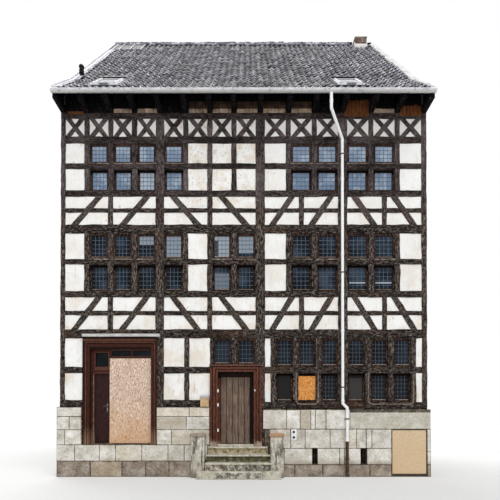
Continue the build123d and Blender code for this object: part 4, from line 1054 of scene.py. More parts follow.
class HOUSE_OT_gutter_fittings(bpy.types.Operator):
    """Bead, straps and joints of the gutters, and the sockets of the downpipe"""
    bl_idname = "house.gutter_fittings"
    bl_label = "Gutter fittings"

    def execute(self, context):
        parts, straps, beads = [], [], []
        for lo, hi in islands("gutters"):
            middle, radius = (lo.y + hi.y) / 2, (hi.y - lo.y) / 2

            def clasps(count, reach, thick, steps, back, depth):
                """Half round clasps at even distances along the gutter, whose places it gives."""
                shape = [(y, -z) for y, z in half_shell(radius + 0.0005, radius + reach, thick, steps)]
                places = [lo.x + (i + 0.5) * (hi.x - lo.x) / count for i in range(count)]
                for x in places:
                    parts.append(plate(shape, depth, Matrix.Translation((x - back, middle, hi.z)) @ ALONG_X))
                return places

            outer = lo.y + 0.009 if middle < 0 else hi.y - 0.009
            beads.append(rod((lo.x, outer, hi.z), (hi.x, outer, hi.z), 0.009, 10))
            clasps(4, 0.003, 0.006, 11, 0, 0.07)
            for x in clasps(14, 0.002, 0.004, 9, 0.013, 0.026):
                straps.append(span((x - 0.014, middle - radius + 0.004, hi.z + 0.001),
                                   (x + 0.014, middle + radius, hi.z + 0.006)))
        parts.append(bars("straps", straps))
        gathered("gutter_fittings", parts, "gutter_zinc", "sheet_metal", smooth=40)
        # the beads take the brighter zinc: painted highlight
        gathered("gutter_beads", beads, "gutter_bead", "sheet_metal", smooth=40)

        sockets = [(PIPE.x, PIPE.y, z, 0.07, 0.050) for z in SOCKETS]
        sockets += [(2.5, FACE_Y - 0.65, 10.72, 0.08, 0.050), (PIPE_FOOT.x, PIPE_FOOT.y, 1.05, 0.07, 0.051)]
        joint = joined("pipe_sockets", [rod((x, y, z), (x, y, z + tall), radius, 20)
                                        for x, y, z, tall, radius in sockets])
        piece(bevelled(joint, 0.006), "pipe_sockets", "white_pipe", "white_plastic", smooth=50)
        clamps = []
        for lo, hi in islands("pipe_brackets"):
            at = PIPE_FOOT if lo.z < 2.0 else PIPE
            z = (lo.z + hi.z) / 2
            clamps.append(rod((at.x, at.y, z - 0.018), (at.x, at.y, z + 0.018), 0.047, 20))
            clamps.append(bars("ears", [span((at.x - 0.075, at.y + 0.012, z - 0.014),
                                             (at.x + 0.075, at.y + 0.03, z + 0.014))]))
        gathered("pipe_clamps", clamps, "iron", "sheet_metal", smooth=50)
        return {"FINISHED"}


EAVES_CELLS = "rd" "bb" "dBB" "B" "BB" "d" "RbR"
# r a rusty strip, d only the dark boards of painted shade, b a course of light blocks, B blocks with brown
# ones over them, R rusty boards; left to right over the bays


class HOUSE_OT_eaves(bpy.types.Operator):
    """Blocks, dark boards of painted shade and the odd rusty board under the eaves"""
    bl_idname = "house.eaves"
    bl_label = "Eaves"

    def execute(self, context):
        rng = random.Random(19)
        light, brown, dark, rust = [], [], [], []
        slope = Slope(-1)
        for side in (-1, 1):
            row = [b for b in islands("eaves_infill") if b[0].y * side > 0]
            for index, (lo, hi) in enumerate(sorted(row, key=lambda b: b[0].x)):
                kind = EAVES_CELLS[index] if side < 0 else "d"
                face = lo.y if side < 0 else hi.y
                top = slope.surface(face) - 0.125

                def slab(x0, x1, z0, z1, near, far, face=face, side=side):
                    ys = sorted((face + side * near, face + side * far))
                    return span((x0, ys[0], z0), (x1, ys[1], z1))

                # near-black boards in every cell: painted shade under the eaves
                x = lo.x - 0.002
                while x < hi.x:
                    end = min(x + rng.uniform(0.16, 0.24), hi.x + 0.002)
                    dark.append(slab(x, end - 0.004, lo.z + 0.002, top - rng.uniform(0, 0.01), -0.01, 0.008))
                    x = end
                if kind in "bB":
                    high = lo.z + (0.36 if kind == "B" else 0.12)
                    brown.append(slab(lo.x + 0.012, hi.x - 0.008, lo.z + 0.004, high, -0.01, 0.017))
                    x = lo.x + 0.015
                    while x < hi.x - 0.06:
                        end = min(x + rng.uniform(0.2, 0.27), hi.x - 0.01)
                        light.append(slab(x, end, lo.z + 0.012, lo.z + rng.uniform(0.12, 0.135), 0.0, 0.03))
                        for level in (0.15, 0.255) if kind == "B" else ():
                            brown.append(slab(x + 0.01, end, lo.z + level, lo.z + level + 0.095, 0.0, 0.024))
                        x = end + 0.012
                if kind == "r":
                    rust.append(slab(lo.x + 0.06, hi.x - 0.03, lo.z - 0.03, lo.z + 0.05, 0.0, 0.03))
                if kind == "R":
                    tall = index == EAVES_CELLS.index("R")
                    low, high = (lo.z - 0.11, lo.z + 0.37) if tall else (lo.z - 0.09, lo.z + 0.22)
                    x = lo.x - 0.02
                    while x < hi.x:
                        end = min(x + rng.uniform(0.09, 0.15), hi.x + 0.02)
                        rust.append(slab(x, end - 0.005, low + rng.uniform(-0.012, 0.012),
                                         high + rng.uniform(-0.02, 0.02), 0.02, 0.045))
                        x = end
        trim("eaves_blocks", light, 0.006, "infill_brick", "masonry", rough=(0.05, 0.022, 2), smooth=40)
        trim("eaves_bricks", brown, 0.005, "brown_brick", "masonry", rough=(0.05, 0.012, 1), smooth=40)
        trim("eaves_boards", dark, 0.004, "soffit_timber", "timber")
        trim("eaves_rusty_boards", rust, 0.004, "rust_board", "timber")

        low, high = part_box("attic_joists")
        eaves, wall, thick = -slope.points[0][0], FACE_Y + 0.155, 0.024
        outline = [(wall, high.z + 0.002), (eaves + 0.03, high.z + 0.002)]
        outline += [(y, slope.surface(y) - 0.112) for y in (eaves + 0.06, wall)]
        mirrored = [(-y, z) for y, z in outline[::-1]]
        gathered("eaves_ends", [plate(shape, thick, Matrix.Translation((x, 0, 0)) @ ALONG_X)
                                for x in (low.x, high.x - thick) for shape in (outline, mirrored)],
                 "soffit_timber", "timber")
        return {"FINISHED"}


# ---------------------------------------------------------------- windows


def grid(lo, hi, y0, y1, columns, rows, wide):
    """Upright and level bars that part a pane into small lights."""
    out = []
    for i in range(1, columns):
        x = lo.x + (hi.x - lo.x) * i / columns
        out.append(span((x - wide / 2, y0, lo.z), (x + wide / 2, y1, hi.z)))
    for i in range(1, rows):
        z = lo.z + (hi.z - lo.z) * i / rows
        out.append(span((lo.x, y0 + 0.001, z - wide / 2), (hi.x, y1 - 0.001, z + wide / 2)))
    return out


def ring(lo, hi, y0, y1, wide):
    """Four bars around the inside of a rectangle."""
    return [span((lo.x, y0, lo.z), (lo.x + wide, y1, hi.z)),
            span((hi.x - wide, y0, lo.z), (hi.x, y1, hi.z)),
            span((lo.x + wide, y0, hi.z - wide), (hi.x - wide, y1, hi.z)),
            span((lo.x + wide, y0, lo.z), (hi.x - wide, y1, lo.z + wide))]


PLAIN_PANES = ((1.22, 2.6), (3.28, 2.6), (1.9, 2.6))  # x and z of middles without lead


class HOUSE_OT_leaded_lights(bpy.types.Operator):
    """Sashes and lead cames in front of every pane, street and garden side"""
    bl_idname = "house.leaded_lights"
    bl_label = "Leaded lights"

    def execute(self, context):
        wide, came = sizes().sash_width, sizes().came_width
        for label, node, out in (("front", "window_glass", -1), ("rear", "rear_window_glass", 1)):
            sashes, cames, drips = [], [], []
            for lo, hi in islands(node):
                if lo.z > 11:
                    continue
                face = lo.y if out < 0 else hi.y
                middle = (lo + hi) / 2
                near, far = face + out * 0.026, face + out * 0.001
                shop = lo.x < -2.7 and 3.0 < lo.z < 3.9
                if hi.x - lo.x > 0.3:
                    sashes += ring(lo, hi, *sorted((near, far)), wide)
                    if lo.z < 7.5 and not shop:
                        y0, y1 = sorted((near, near + out * 0.014))
                        drips.append(span((lo.x + 0.01, y0, lo.z + 0.002),
                                          (hi.x - 0.01, y1, lo.z + (0.026 if lo.z < 4.4 else 0.018))))
                if shop or any(abs(middle.x - x) < 0.1 and abs(middle.z - z) < 0.2 for x, z in PLAIN_PANES):
                    continue
                low = Vector((lo.x + wide, lo.y, lo.z + wide))
                high = Vector((hi.x - wide, hi.y, hi.z - wide))
                rows = max(3, round((high.z - low.z) / 0.125))
                cames += grid(low, high, *sorted((face + out * 0.011, far)), 4, rows, came)
            trim("sashes_" + label, sashes, 0.005, "sash_paint", "window_wood")
            trim("sash_drips_" + label, drips, 0.004, "sash_drip", "window_wood")
            trim("cames_" + label, cames, 0.0, "lead_came", "sheet_metal")
        return {"FINISHED"}


class HOUSE_OT_window_sills(bpy.types.Operator):
    """Worn pale sills under the upper lights and rounded beads under the lower ones"""
    bl_idname = "house.window_sills"
    bl_label = "Window sills"

    def execute(self, context):
        sills = [span((lo.x - 0.01, FACE_Y - 0.012, lo.z - 0.022), (hi.x + 0.01, lo.y + 0.03, lo.z + 0.012))
                 for lo, hi in islands("window_frames_upper") + islands("window_frames_ground")
                 if hi.y < -4.8 and lo.y < -4.95 and lo.z > 4.0]
        trim("worn_sills", sills, 0.006, "worn_sill", "window_wood", rough=(0.08, 0.008, 2), smooth=40)
        beads = []
        bend, low, high, y = 0.10, 2.155, 3.12, FACE_Y - 0.010
        for x0, x1 in ((1.565, 2.225), (3.725, 5.075)):
            path = [(x0, high), (x0, low + bend), (x0 + bend * 0.3, low + bend * 0.3), (x0 + bend, low),
                    (x1 - bend, low), (x1 - bend * 0.3, low + bend * 0.3), (x1, low + bend), (x1, high)]
            beads += [rod((ax, y, az), (bx, y, bz), 0.020, 8) for (ax, az), (bx, bz) in zip(path, path[1:])]
        # the beads take lighter wood: painted highlight
        gathered("window_beads", beads, "bead_wood", "window_wood", smooth=50)
        rods = [span((lo.x + 0.02, lo.y - 0.014, lo.z + 0.20), (hi.x - 0.02, lo.y - 0.002, lo.z + 0.235))
                for lo, hi in islands("window_glass") if 5.5 < lo.z < 5.7 and lo.x > 3.0]
        trim("light_bars", rods, 0.003, "curtain_bar", "window_wood")
        return {"FINISHED"}


# ---------------------------------------------------------------- masonry


def courses(rows, joint, face, back):
    """Stones of the courses (z0, z1, joints along x), a joint's width apart."""
    return [span((a + joint / 2, face, z0 + joint / 2), (b - joint / 2, back, z1 - joint / 2))
            for z0, z1, ends in rows for a, b in zip(ends, ends[1:])]


STONE_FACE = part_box("plinth_front")[0].y - 0.012
LEFT_COURSES = (
    (1.785, 2.062, (-5.56, -4.83)), (1.785, 2.062, (-2.59, -1.62, -1.02)),
    (1.395, 1.785, (-5.56, -5.19, -4.83)), (1.395, 1.785, (-2.59, -1.71, -1.02)),
    (0.945, 1.395, (-5.56, -5.325, -4.83)), (0.945, 1.395, (-2.59, -2.145, -1.02)),
    (0.465, 0.945, (-5.56, -5.025, -4.29, -3.81, -3.03, -2.25, -1.77, -1.45, -1.07)),
)
RIGHT_COURSES = (
    (1.41, 1.99, (0.57, 1.275, 1.68, 1.99, 2.13, 2.445, 3.045, 3.163)),
    (0.84, 1.41, (0.78, 1.39, 1.825, 2.565, 3.045, 3.355, 3.64, 3.81, 4.395)),
    (0.355, 0.84, (0.8, 1.2, 2.04)), (0.355, 0.84, (2.19, 2.85, 3.0, 3.48)),
    (0.355, 0.84, (3.66, 4.395)), (0.74, 1.41, (5.455, 5.56)), (0.355, 0.74, (5.455, 5.56)),
)
FOOT_COURSES = (
    (0.0, 0.465, (-5.56, -4.56, -3.615, -2.91, -2.22, -1.5, -1.1)),
    (0.0, 0.355, (0.8, 1.52, 2.35, 3.1, 3.75, 4.395)), (0.0, 0.355, (5.455, 5.56)),
)


class HOUSE_OT_ashlar(bpy.types.Operator):
    """Cut stones of the plinth in their courses, with the lower courses browner"""
    bl_idname = "house.ashlar"
    bl_label = "Ashlar plinth"

    def execute(self, context):
        joint = sizes().stone_joint
        face, back = STONE_FACE, STONE_FACE + 0.03
        trim("plinth_stones", courses(LEFT_COURSES + RIGHT_COURSES, joint, face, back), 0.009,
             "ashlar", "plinth_stone", rough=(0.16, 0.012, 3), smooth=35)
        trim("plinth_foot", courses(FOOT_COURSES, joint, face + 0.004, back), 0.012,
             "foot_stone", "plinth_stone", rough=(0.12, 0.02, 3), floor=0.0, smooth=35)

        lo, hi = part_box("plinth_rear")
        rng = random.Random(5)
        rows, z = [], 0.0
        for height in (0.465, 0.48, 0.45, 0.39, hi.z - 1.785):
            ends, x = [lo.x], lo.x + rng.uniform(0.5, 0.9)
            while x < hi.x - 0.4:
                ends.append(x)
                x += rng.uniform(0.5, 1.0)
            rows.append((z, min(z + height, hi.z), ends + [hi.x]))
            z += height
        trim("plinth_stones_rear", courses(rows, joint, hi.y - 0.02, hi.y + 0.012), 0.009,
             "ashlar", "plinth_stone", rough=(0.16, 0.012, 2), floor=0.0, smooth=35)
        return {"FINISHED"}


class HOUSE_OT_vents(bpy.types.Operator):
    """An iron bar in each cellar vent, and the white plate beside them"""
    bl_idname = "house.vents"
    bl_label = "Cellar vents"

    def execute(self, context):
        irons, y, face = [], FACE_Y + 0.02, STONE_FACE
        for x0, x1 in ((2.04, 2.19), (3.48, 3.66)):
            middle = (x0 + x1) / 2
            irons.append(rod((middle, y, 0.375), (middle, y, 0.855), 0.011, 10))
            irons.append(rod((x0, y, 0.62), (x1, y, 0.62), 0.008, 8))
        gathered("vent_bars", irons, "iron", "iron", smooth=40)
        trim("meter_plate", [span((1.412, face - 0.012, 1.085), (1.565, face + 0.01, 1.405))], 0.012,
             "white_pipe", "white_plastic", 2, smooth=50)
        caps = [rod((1.488, face - 0.035, z), (1.488, face - 0.005, z), 0.036, 18) for z in (1.33, 1.17)]
        caps = bevelled(joined("meter_caps", caps), 0.008)
        piece(caps, "meter_caps", "black_metal", "black_metal", smooth=50)
        return {"FINISHED"}


class HOUSE_OT_steps(bpy.types.Operator):
    """Worn stone steps and the two lichened piers beside them"""
    bl_idname = "house.steps"
    bl_label = "Steps and piers"

    def execute(self, context):
        treads = []
        boxes = sorted(islands("door_steps"), key=lambda b: b[0].z)
        for index, (lo, hi) in enumerate(boxes):
            if index == 0:
                cuts = [lo.x, lo.x + 0.38, hi.x - 0.55, hi.x]
            elif index == len(boxes) - 1:
                cuts = [lo.x, hi.x]
            else:
                parts = 3 if index < 3 else 2
                cuts = [lo.x + (hi.x - lo.x) * i / parts for i in range(parts + 1)]
            nose = 0.035 if 0 < index < len(boxes) - 1 else 0.0
            for a, b in zip(cuts, cuts[1:]):
                treads.append(span((a + 0.002, lo.y, lo.z), (b - 0.002, hi.y, hi.z)))
                if nose:
                    treads.append(span((a + 0.002, lo.y - nose, hi.z - 0.055),
                                       (b - 0.002, lo.y + 0.1, hi.z + 0.004)))
        trim("worn_steps", treads, 0.014, "step_stone", "step_stone", 2, (0.14, 0.018, 3), 0.0,
             replaces=("door_steps",), smooth=40)
        shafts, caps = [], []
        for lo, hi in islands("step_cheeks"):
            shafts.append(span((lo.x + 0.035, lo.y + 0.03, 0), (hi.x - 0.035, hi.y, hi.z - 0.09)))
            caps.append(span((lo.x, lo.y, hi.z - 0.115), (hi.x, hi.y, hi.z)))
        trim("pier_shafts", shafts, 0.016, "pier_stone", "step_stone", 2, (0.18, 0.02, 3), 0.0,
             replaces=("step_cheeks",), smooth=40)
        trim("pier_caps", caps, 0.045, "pier_stone", "step_stone", 3, (0.14, 0.014, 2),
             replaces=("step_cheeks",), smooth=50)
        return {"FINISHED"}


class HOUSE_OT_boards(bpy.types.Operator):
    """Boards over the portal, a window and the cellar hatch, with their screws and the hatch frame"""
    bl_idname = "house.boards"
    bl_label = "Boards"

    def execute(self, context):
        lo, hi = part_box("hatch_frame")
        # near-black bead round the hatch board: painted shade of its recess
        trim("hatch_bead", ring(lo, hi, lo.y - 0.05, lo.y + 0.02, 0.03), 0.006, "eaves_black", "window_wood")
        screws = []
        for name, material, lo, hi in (
            ("portal_board", "portal_board", (-4.023, -4.958, 0.985), (-2.777, -4.940, 3.535)),
            ("window_board", "raw_board", (1.632, -4.950, 2.285), (2.157, -4.932, 3.005)),
            ("hatch_board", "plain_board", (4.422, lo.y - 0.068, 0.085), (5.428, lo.y - 0.050, 1.38)),
        ):
            trim(name, [span(lo, hi)], 0.003, material, "chipboard", replaces=("chipboards",))
            count = max(2, round((hi[2] - lo[2]) / 0.5))
            for x in (lo[0] + 0.035, (lo[0] + hi[0]) / 2, hi[0] - 0.035):
                for i in range(count + 1):
                    z = lo[2] + 0.03 + (hi[2] - lo[2] - 0.06) * i / count
                    screws.append(rod((x, lo[1] - 0.002, z), (x, lo[1] + 0.004, z), 0.006, 8))
        gathered("board_screws", screws, "iron", "iron")
        return {"FINISHED"}


# ---------------------------------------------------------------- doors


def surround(x0, x1, z0, z1, y0, y1, wide):
    """Two uprights and a head around an opening; wide is the width of the band."""
    return [span((x0 - wide, y0, z0), (x0, y1, z1 + wide)),
            span((x1, y0, z0), (x1 + wide, y1, z1 + wide)),
            span((x0, y0, z1), (x1, y1, z1 + wide))]


class HOUSE_OT_portal(bpy.types.Operator):
    """Mouldings of the portal, its cornice and its lights"""
    bl_idname = "house.portal"
    bl_label = "Portal"

    def execute(self, context):
        lo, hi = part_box("portal_frame")
        face, x0, x1, foot, head = lo.y, -4.60, -2.765, 0.96, 3.81
        back = face + 0.01

        def band(off, wide, out, over):
            """One moulding around the opening, off from its edge and over its head."""
            return surround(x0 - off, x1 + off, foot, head + over, face - out, back, wide)

        rolls = band(0.018, 0.046, 0.016, 0.078) + band(0.150, 0.014, 0.020, 0.205)
        # lighter bands: painted highlight on the raised mouldings and the head fascia
        lights = band(0.0, 0.010, 0.010, 0.052) + band(0.086, 0.034, 0.024, 0.170)
        lights.append(span((lo.x + 0.02, face - 0.018, 4.035), (hi.x - 0.02, back, 4.11)))
        # near-black strips: painted shade in each groove, over the opening, under the cornice and along the
        # outer edge
        shade_lines = band(0.010, 0.008, 0.003, 0.004) + band(0.066, 0.018, 0.004, 0.140)
        shade_lines += [span((x0, face - 0.004, head + 0.002), (x1, back, head + 0.050)),
                    span((lo.x, face - 0.004, 4.012), (hi.x, back, 4.034)),
                    span((lo.x, face - 0.022, 4.112), (hi.x, back, 4.163)),
                    span((lo.x - 0.002, face - 0.003, foot), (lo.x + 0.045, back, 4.03))]
        trim("portal_rolls", rolls, 0.006, "portal_paint", "portal_wood", 2, smooth=50)
        trim("portal_bands", lights, 0.005, "portal_band", "portal_wood", 2, smooth=50)
        trim("portal_grooves", shade_lines, 0.002, "joinery_groove", "portal_wood")

        lo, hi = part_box("portal_cornice")
        low, high = lo.z, hi.z
        trim("portal_crown", [span((lo.x + 0.09, lo.y, low - 0.012), (hi.x, FACE_Y, low + 0.068))], 0.006,
             "cornice_paint", "cornice", 2, (0.09, 0.012, 2), replaces=("portal_cornice",), smooth=50)
        trim("cornice_back", [span((lo.x + 0.10, lo.y + 0.05, low + 0.05), (hi.x - 0.03, FACE_Y, high)),
                              span((lo.x + 0.12, lo.y + 0.035, low), (hi.x - 0.05, FACE_Y, low + 0.02))],
             0.008, "cornice_back", "cornice", replaces=("portal_cornice",))

        wood = ring(Vector((-4.488, 0, 3.188)), Vector((-4.037, 0, 3.74)), -4.955, -4.93, 0.034)
        wood.append(span((-4.488, -4.952, 3.20), (-4.037, -4.93, 3.285)))
        wood += [span((-4.50, -4.965, 3.095), (-4.03, -4.93, 3.125)),
                 span((-4.60, -4.955, 3.17), (-3.96, -4.93, 3.19))]
        wood += surround(-4.483, -4.042, 0.98, 3.072, -4.953, -4.93, 0.022)
        wood += [span((-3.957, -4.955, 3.775), (-2.765, -4.93, 3.81)),
                 span((-3.957, -4.955, 3.57), (-2.765, -4.942, 3.6))]
        # the trims of the lights in the lighter portal paint: painted highlight
        trim("portal_lights_trim", wood, 0.006, "portal_band", "portal_wood")
        trim("portal_worn_edge", [span((-4.522, -4.957, 0.98), (-4.503, -4.935, 3.08)),
                                  span((-4.49, -4.957, 0.962), (-4.03, -4.93, 0.984))],
             0.004, "worn_sill", "portal_wood")
        return {"FINISHED"}


class HOUSE_OT_shop_leaf(bpy.types.Operator):
    """Edge strips, kick plate and pull handle of the narrow leaf"""
    bl_idname = "house.shop_leaf"
    bl_label = "Shop leaf"

    def execute(self, context):
        low, high = (corner.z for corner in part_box("portal_door"))
        face, x0, x1 = FACE_Y + 0.095, -4.480, -4.045
        strips = ring(Vector((x0 + 0.004, 0, low + 0.004)), Vector((x1 - 0.004, 0, high - 0.004)),
                      face - 0.008, face + 0.004, 0.05)
        strips.append(span((x0 + 0.06, face - 0.006, low + 0.06), (x1 - 0.06, face + 0.002, low + 0.24)))
        trim("shop_leaf_strips", strips, 0.003, "shop_leaf_paint", "leaf_wood", body=SHOP_BODY)
        x, z = -4.105, 2.05
        grip = z + 0.05
        lock = span((x - 0.02, face - 0.014, z - 0.13), (x + 0.02, face - 0.006, z + 0.13))
        gathered("shop_leaf_lock", [
            bars("lock_plate", [lock], 0.004),
            rod((x, face - 0.05, grip), (x, face - 0.01, grip), 0.009, 12),
            rod((x + 0.005, face - 0.05, grip), (x - 0.11, face - 0.05, grip), 0.009, 12),
        ], "worn_metal", "iron", body=SHOP_BODY, smooth=45)
        return {"FINISHED"}


class HOUSE_OT_doorcase(bpy.types.Operator):
    """Mouldings of the entrance, its drip board and the plates on its jambs"""
    bl_idname = "house.doorcase"
    bl_label = "Doorcase"

    def execute(self, context):
        lo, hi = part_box("entrance_frame")
        face, x0, x1, foot, head = lo.y, -0.78, 0.30, 0.895, 3.126

        def band(off, wide, out):
            return surround(x0 - off, x1 + off, foot, head + off, face - out, face + 0.01, wide)

        rolls = band(0.022, 0.040, 0.016) + band(0.100, 0.040, 0.024) + band(0.165, 0.020, 0.010)
        rolls += [span((x, face - 0.03, foot), (x + 0.2, face + 0.01, foot + 0.15)) for x in (-1.012, 0.34)]
        # lighter edges: painted highlight along the mouldings
        edges = band(0.0, 0.016, 0.020) + band(0.084, 0.014, 0.030)
        # near-black strips: painted shade in each groove
        shade_lines = band(0.064, 0.018, 0.004) + band(0.142, 0.020, 0.004)
        trim("doorcase_rolls", rolls, 0.007, "doorcase_paint", "portal_wood", 2, smooth=50)
        trim("doorcase_edges", edges, 0.005, "doorcase_edge", "portal_wood", 2, smooth=50)
        trim("doorcase_grooves", shade_lines, 0.002, "joinery_groove", "portal_wood")
        # the drip board in the lighter doorcase paint: painted highlight
        trim("doorcase_drip", [span((lo.x - 0.02, face - 0.030, hi.z - 0.028),
                                    (hi.x + 0.02, FACE_Y, hi.z + 0.008))],
             0.009, "doorcase_edge", "portal_wood", 2, (0.1, 0.006, 2), smooth=50)
        # near-black strip: painted shadow under the drip board
        trim("doorcase_under", [span((lo.x - 0.005, face - 0.012, hi.z - 0.055),
                                     (hi.x + 0.005, FACE_Y, hi.z - 0.028))],
             0.004, "joinery_groove", "portal_wood")
        inner = ring(Vector((x0, 0, 0.93)), Vector((x1, 0, head)), FACE_Y + 0.145, FACE_Y + 0.175, 0.035)[:3]
        trim("doorcase_stops", inner, 0.005, "doorcase_paint", "portal_wood")
        plates = [span((-0.783, face - 0.032, z - 0.045), (-0.748, face + 0.02, z + 0.045))
                  for z in (2.553, 2.136, 1.383)]
        plates.append(span((0.318, face - 0.032, 2.54), (0.345, face + 0.01, 2.59)))
        trim("jamb_plates", plates, 0.004, "white_pipe", "sheet_metal")
        return {"FINISHED"}


PLANK_WIDTHS = (0.17, 0.19, 0.165, 0.185, 0.17)


class HOUSE_OT_plank_door(bpy.types.Operator):
    """Five weathered planks, a lock plate and the nails of the house door"""
    bl_idname = "house.plank_door"
    bl_label = "Plank door"

    def execute(self, context):
        low, high = (corner.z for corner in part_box("entrance_door"))
        face = FACE_Y + 0.215 - 0.045
        x0, x1, planks, nails = -0.695, 0.185, [], []
        scale = (x1 - x0) / sum(PLANK_WIDTHS)
        x = x0
        for i, width in enumerate(PLANK_WIDTHS):
            end = x + width * scale
            planks.append(span((x + 0.007, face - 0.018, low + 0.002 + 0.003 * (i % 2)),
                               (end - 0.007, face + 0.004, high - 0.002)))
            for z in (1.25, 1.95, 2.7):
                for share in (0.25, 0.75):
                    at = x + (end - x) * share
                    nails.append(rod((at, face - 0.022, z), (at, face - 0.014, z), 0.008, 8))
            x = end
        # near-black board behind the planks: painted shade in the gaps between them
        trim("door_gaps", [span((x0 + 0.004, face - 0.004, low + 0.004),
                                (x1 - 0.004, face + 0.002, high - 0.004))],
             0.001, "joinery_groove", "plank_wood", body=DOOR_BODY)
        trim("door_planks", planks, 0.006, "plank_paint", "plank_wood", rough=(0.2, 0.003, 2), body=DOOR_BODY)
        lock = span((x0 + 0.04, face - 0.024, 1.93), (x0 + 0.085, face - 0.016, 2.12))
        nails.append(bars("lock_plate", [lock], 0.004))
        gathered("door_ironwork", nails, "worn_metal", "iron", body=DOOR_BODY, smooth=45)
        return {"FINISHED"}


class HOUSE_OT_letterbox(bpy.types.Operator):
    """Grey lid, flap and slot of the letterbox"""
    bl_idname = "house.letterbox"
    bl_label = "Letterbox"

    def execute(self, context):
        lo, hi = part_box("letterbox")
        trim("letterbox_lid", [span((lo.x - 0.014, lo.y - 0.016, hi.z - 0.06),
                                    (hi.x + 0.014, FACE_Y, hi.z + 0.012))],
             0.008, "weathered_zinc", "letterbox_metal", 2, smooth=50)
        trim("letterbox_flap", [
            span((lo.x + 0.03, lo.y - 0.007, hi.z - 0.10), (hi.x - 0.03, lo.y + 0.003, hi.z - 0.072)),
            span((lo.x + 0.02, lo.y - 0.005, lo.z + 0.03), (hi.x - 0.02, lo.y + 0.003, hi.z - 0.11)),
        ], 0.004, "letterbox_paint", "letterbox_metal")
        return {"FINISHED"}


# ---------------------------------------------------------------- chimney and pipe


BRICKS_FROM = 16.95
BRICK_LONG, BRICK_TALL, BRICK_STEP, COURSE_STEP = 0.21, 0.064, 0.22, 0.075


def walls(x0, x1, y0, y1, z0, z1, thick):
    """Four walls around a shaft."""
    return [span((x0, y0, z0), (x1, y0 + thick, z1)), span((x0, y1 - thick, z0), (x1, y1, z1)),
            span((x0, y0 + thick, z0), (x0 + thick, y1 - thick, z1)),
            span((x1 - thick, y0 + thick, z0), (x1, y1 - thick, z1))]


class HOUSE_OT_chimney(bpy.types.Operator):
    """Brick stack of the chimney with its courses, cement crown and base flashing"""
    bl_idname = "house.chimney"
    bl_label = "Chimney"

    def execute(self, context):
        lo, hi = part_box("chimney")
        x0, x1, y0, y1 = lo.x + 0.045, lo.x + 0.525, lo.y + 0.03, hi.y - 0.03
        top, wall = hi.z - 0.35, 0.12
        trim("chimney_stack", walls(x0, x1, y0, y1, lo.z, top, wall), 0.0, "brick", "brick",
             replaces=("chimney",))
        bricks, z, course = [], BRICKS_FROM, 0
        rng = random.Random(11)
        while z < top - 0.07:
            for along, a, b, fixed in (("x", x0, x1, y0), ("x", x0, x1, y1),
                                       ("y", y0, y1, x0), ("y", y0, y1, x1)):
                at = a - (0.11 if course % 2 else 0.0)
                while at < b - 0.01:
                    start, end = max(at, a), min(at + BRICK_LONG, b)
                    out = rng.uniform(0.006, 0.016)
                    if end - start > 0.03:
                        low, high = (start + 0.004, fixed - out), (end - 0.004, fixed + out)
                        if along == "y":
                            low, high = low[::-1], high[::-1]
                        bricks.append(span((*low, z), (*high, z + BRICK_TALL)))
                    at += BRICK_STEP
            z += COURSE_STEP
            course += 1
        trim("chimney_bricks", bricks, 0.006, "brick", "brick", rough=(0.05, 0.004, 1), replaces=("chimney",))
        out = 0.02
        crown = walls(x0 - out, x1 + out, y0 - out, y1 + out, top - 0.05, top + 0.012, wall + 0.03)
        trim("chimney_crown", crown, 0.014, "chimney_cement", "masonry", 2, (0.1, 0.012, 2),
             replaces=("chimney",), smooth=50)
        foot, level, peak = 17.10, 17.50, 17.60
        collar = [span((x0 - 0.03, y0 - 0.03, foot), (x1 + 0.03, y0 + 0.01, level)),
                  span((x0 - 0.03, y1 - 0.01, foot), (x1 + 0.03, y1 + 0.03, level)),
                  span((x0 - 0.03, y0, foot), (x0 + 0.01, y1, peak)),
                  span((x1 - 0.01, y0, foot), (x1 + 0.03, y1, peak))]
        trim("chimney_flashing", collar, 0.01, "verge_mortar", "sheet_metal", rough=(0.15, 0.01, 2), smooth=50)
        return {"FINISHED"}


class HOUSE_OT_vent_cowl(bpy.types.Operator):
    """The black pipe with its cowl, rings and flashing"""
    bl_idname = "house.vent_cowl"
    bl_label = "Vent pipe"

    def execute(self, context):
        lo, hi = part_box("vent_pipe")
        x, y = (lo.x + hi.x) / 2, (lo.y + hi.y) / 2
        top = hi.z - 0.13
        parts = [rod((x, y, z), (x, y, z + tall), radius, 24) for z, tall, radius in (
            (lo.z, top - lo.z - 0.02, 0.058), (top - 0.21, 0.03, 0.078), (lo.z + 0.12, 0.05, 0.078))]
        cowl = bevelled(joined("vent_stack", parts), 0.005)
        deselect()
        bpy.ops.mesh.primitive_uv_sphere_add(segments=24, ring_count=12, radius=0.085,
                                             location=(x, y, top - 0.075))
        ball = bpy.context.object
        for vertex in ball.data.vertices:
            vertex.co.z *= 0.88
        bpy.ops.object.transform_apply(location=True, rotation=True, scale=True)
        gathered("vent_stack", [cowl, ball], "black_metal", "black_metal", replaces=("vent_pipe",), smooth=40)
        slope = Slope(-1)
        run = slope.run(y)
        trim("vent_apron", [slope.slab(x - 0.17, x + 0.17, run - 0.26, run + 0.2, 0.004, 0.014)], 0.004,
             "dark_zinc", "sheet_metal")
        return {"FINISHED"}


# ---------------------------------------------------------------- stage


SUNS = (  # name, tilt and turn in degrees, strength, spread in degrees
    ("sky_front", -58, -22, 1.32, 36),
    ("sky_rear", 56, 24, 1.0, 36),
)
PHOTO_WIDTH, PHOTO_FOCUS = 500, 401.5  # in pixels of the photo


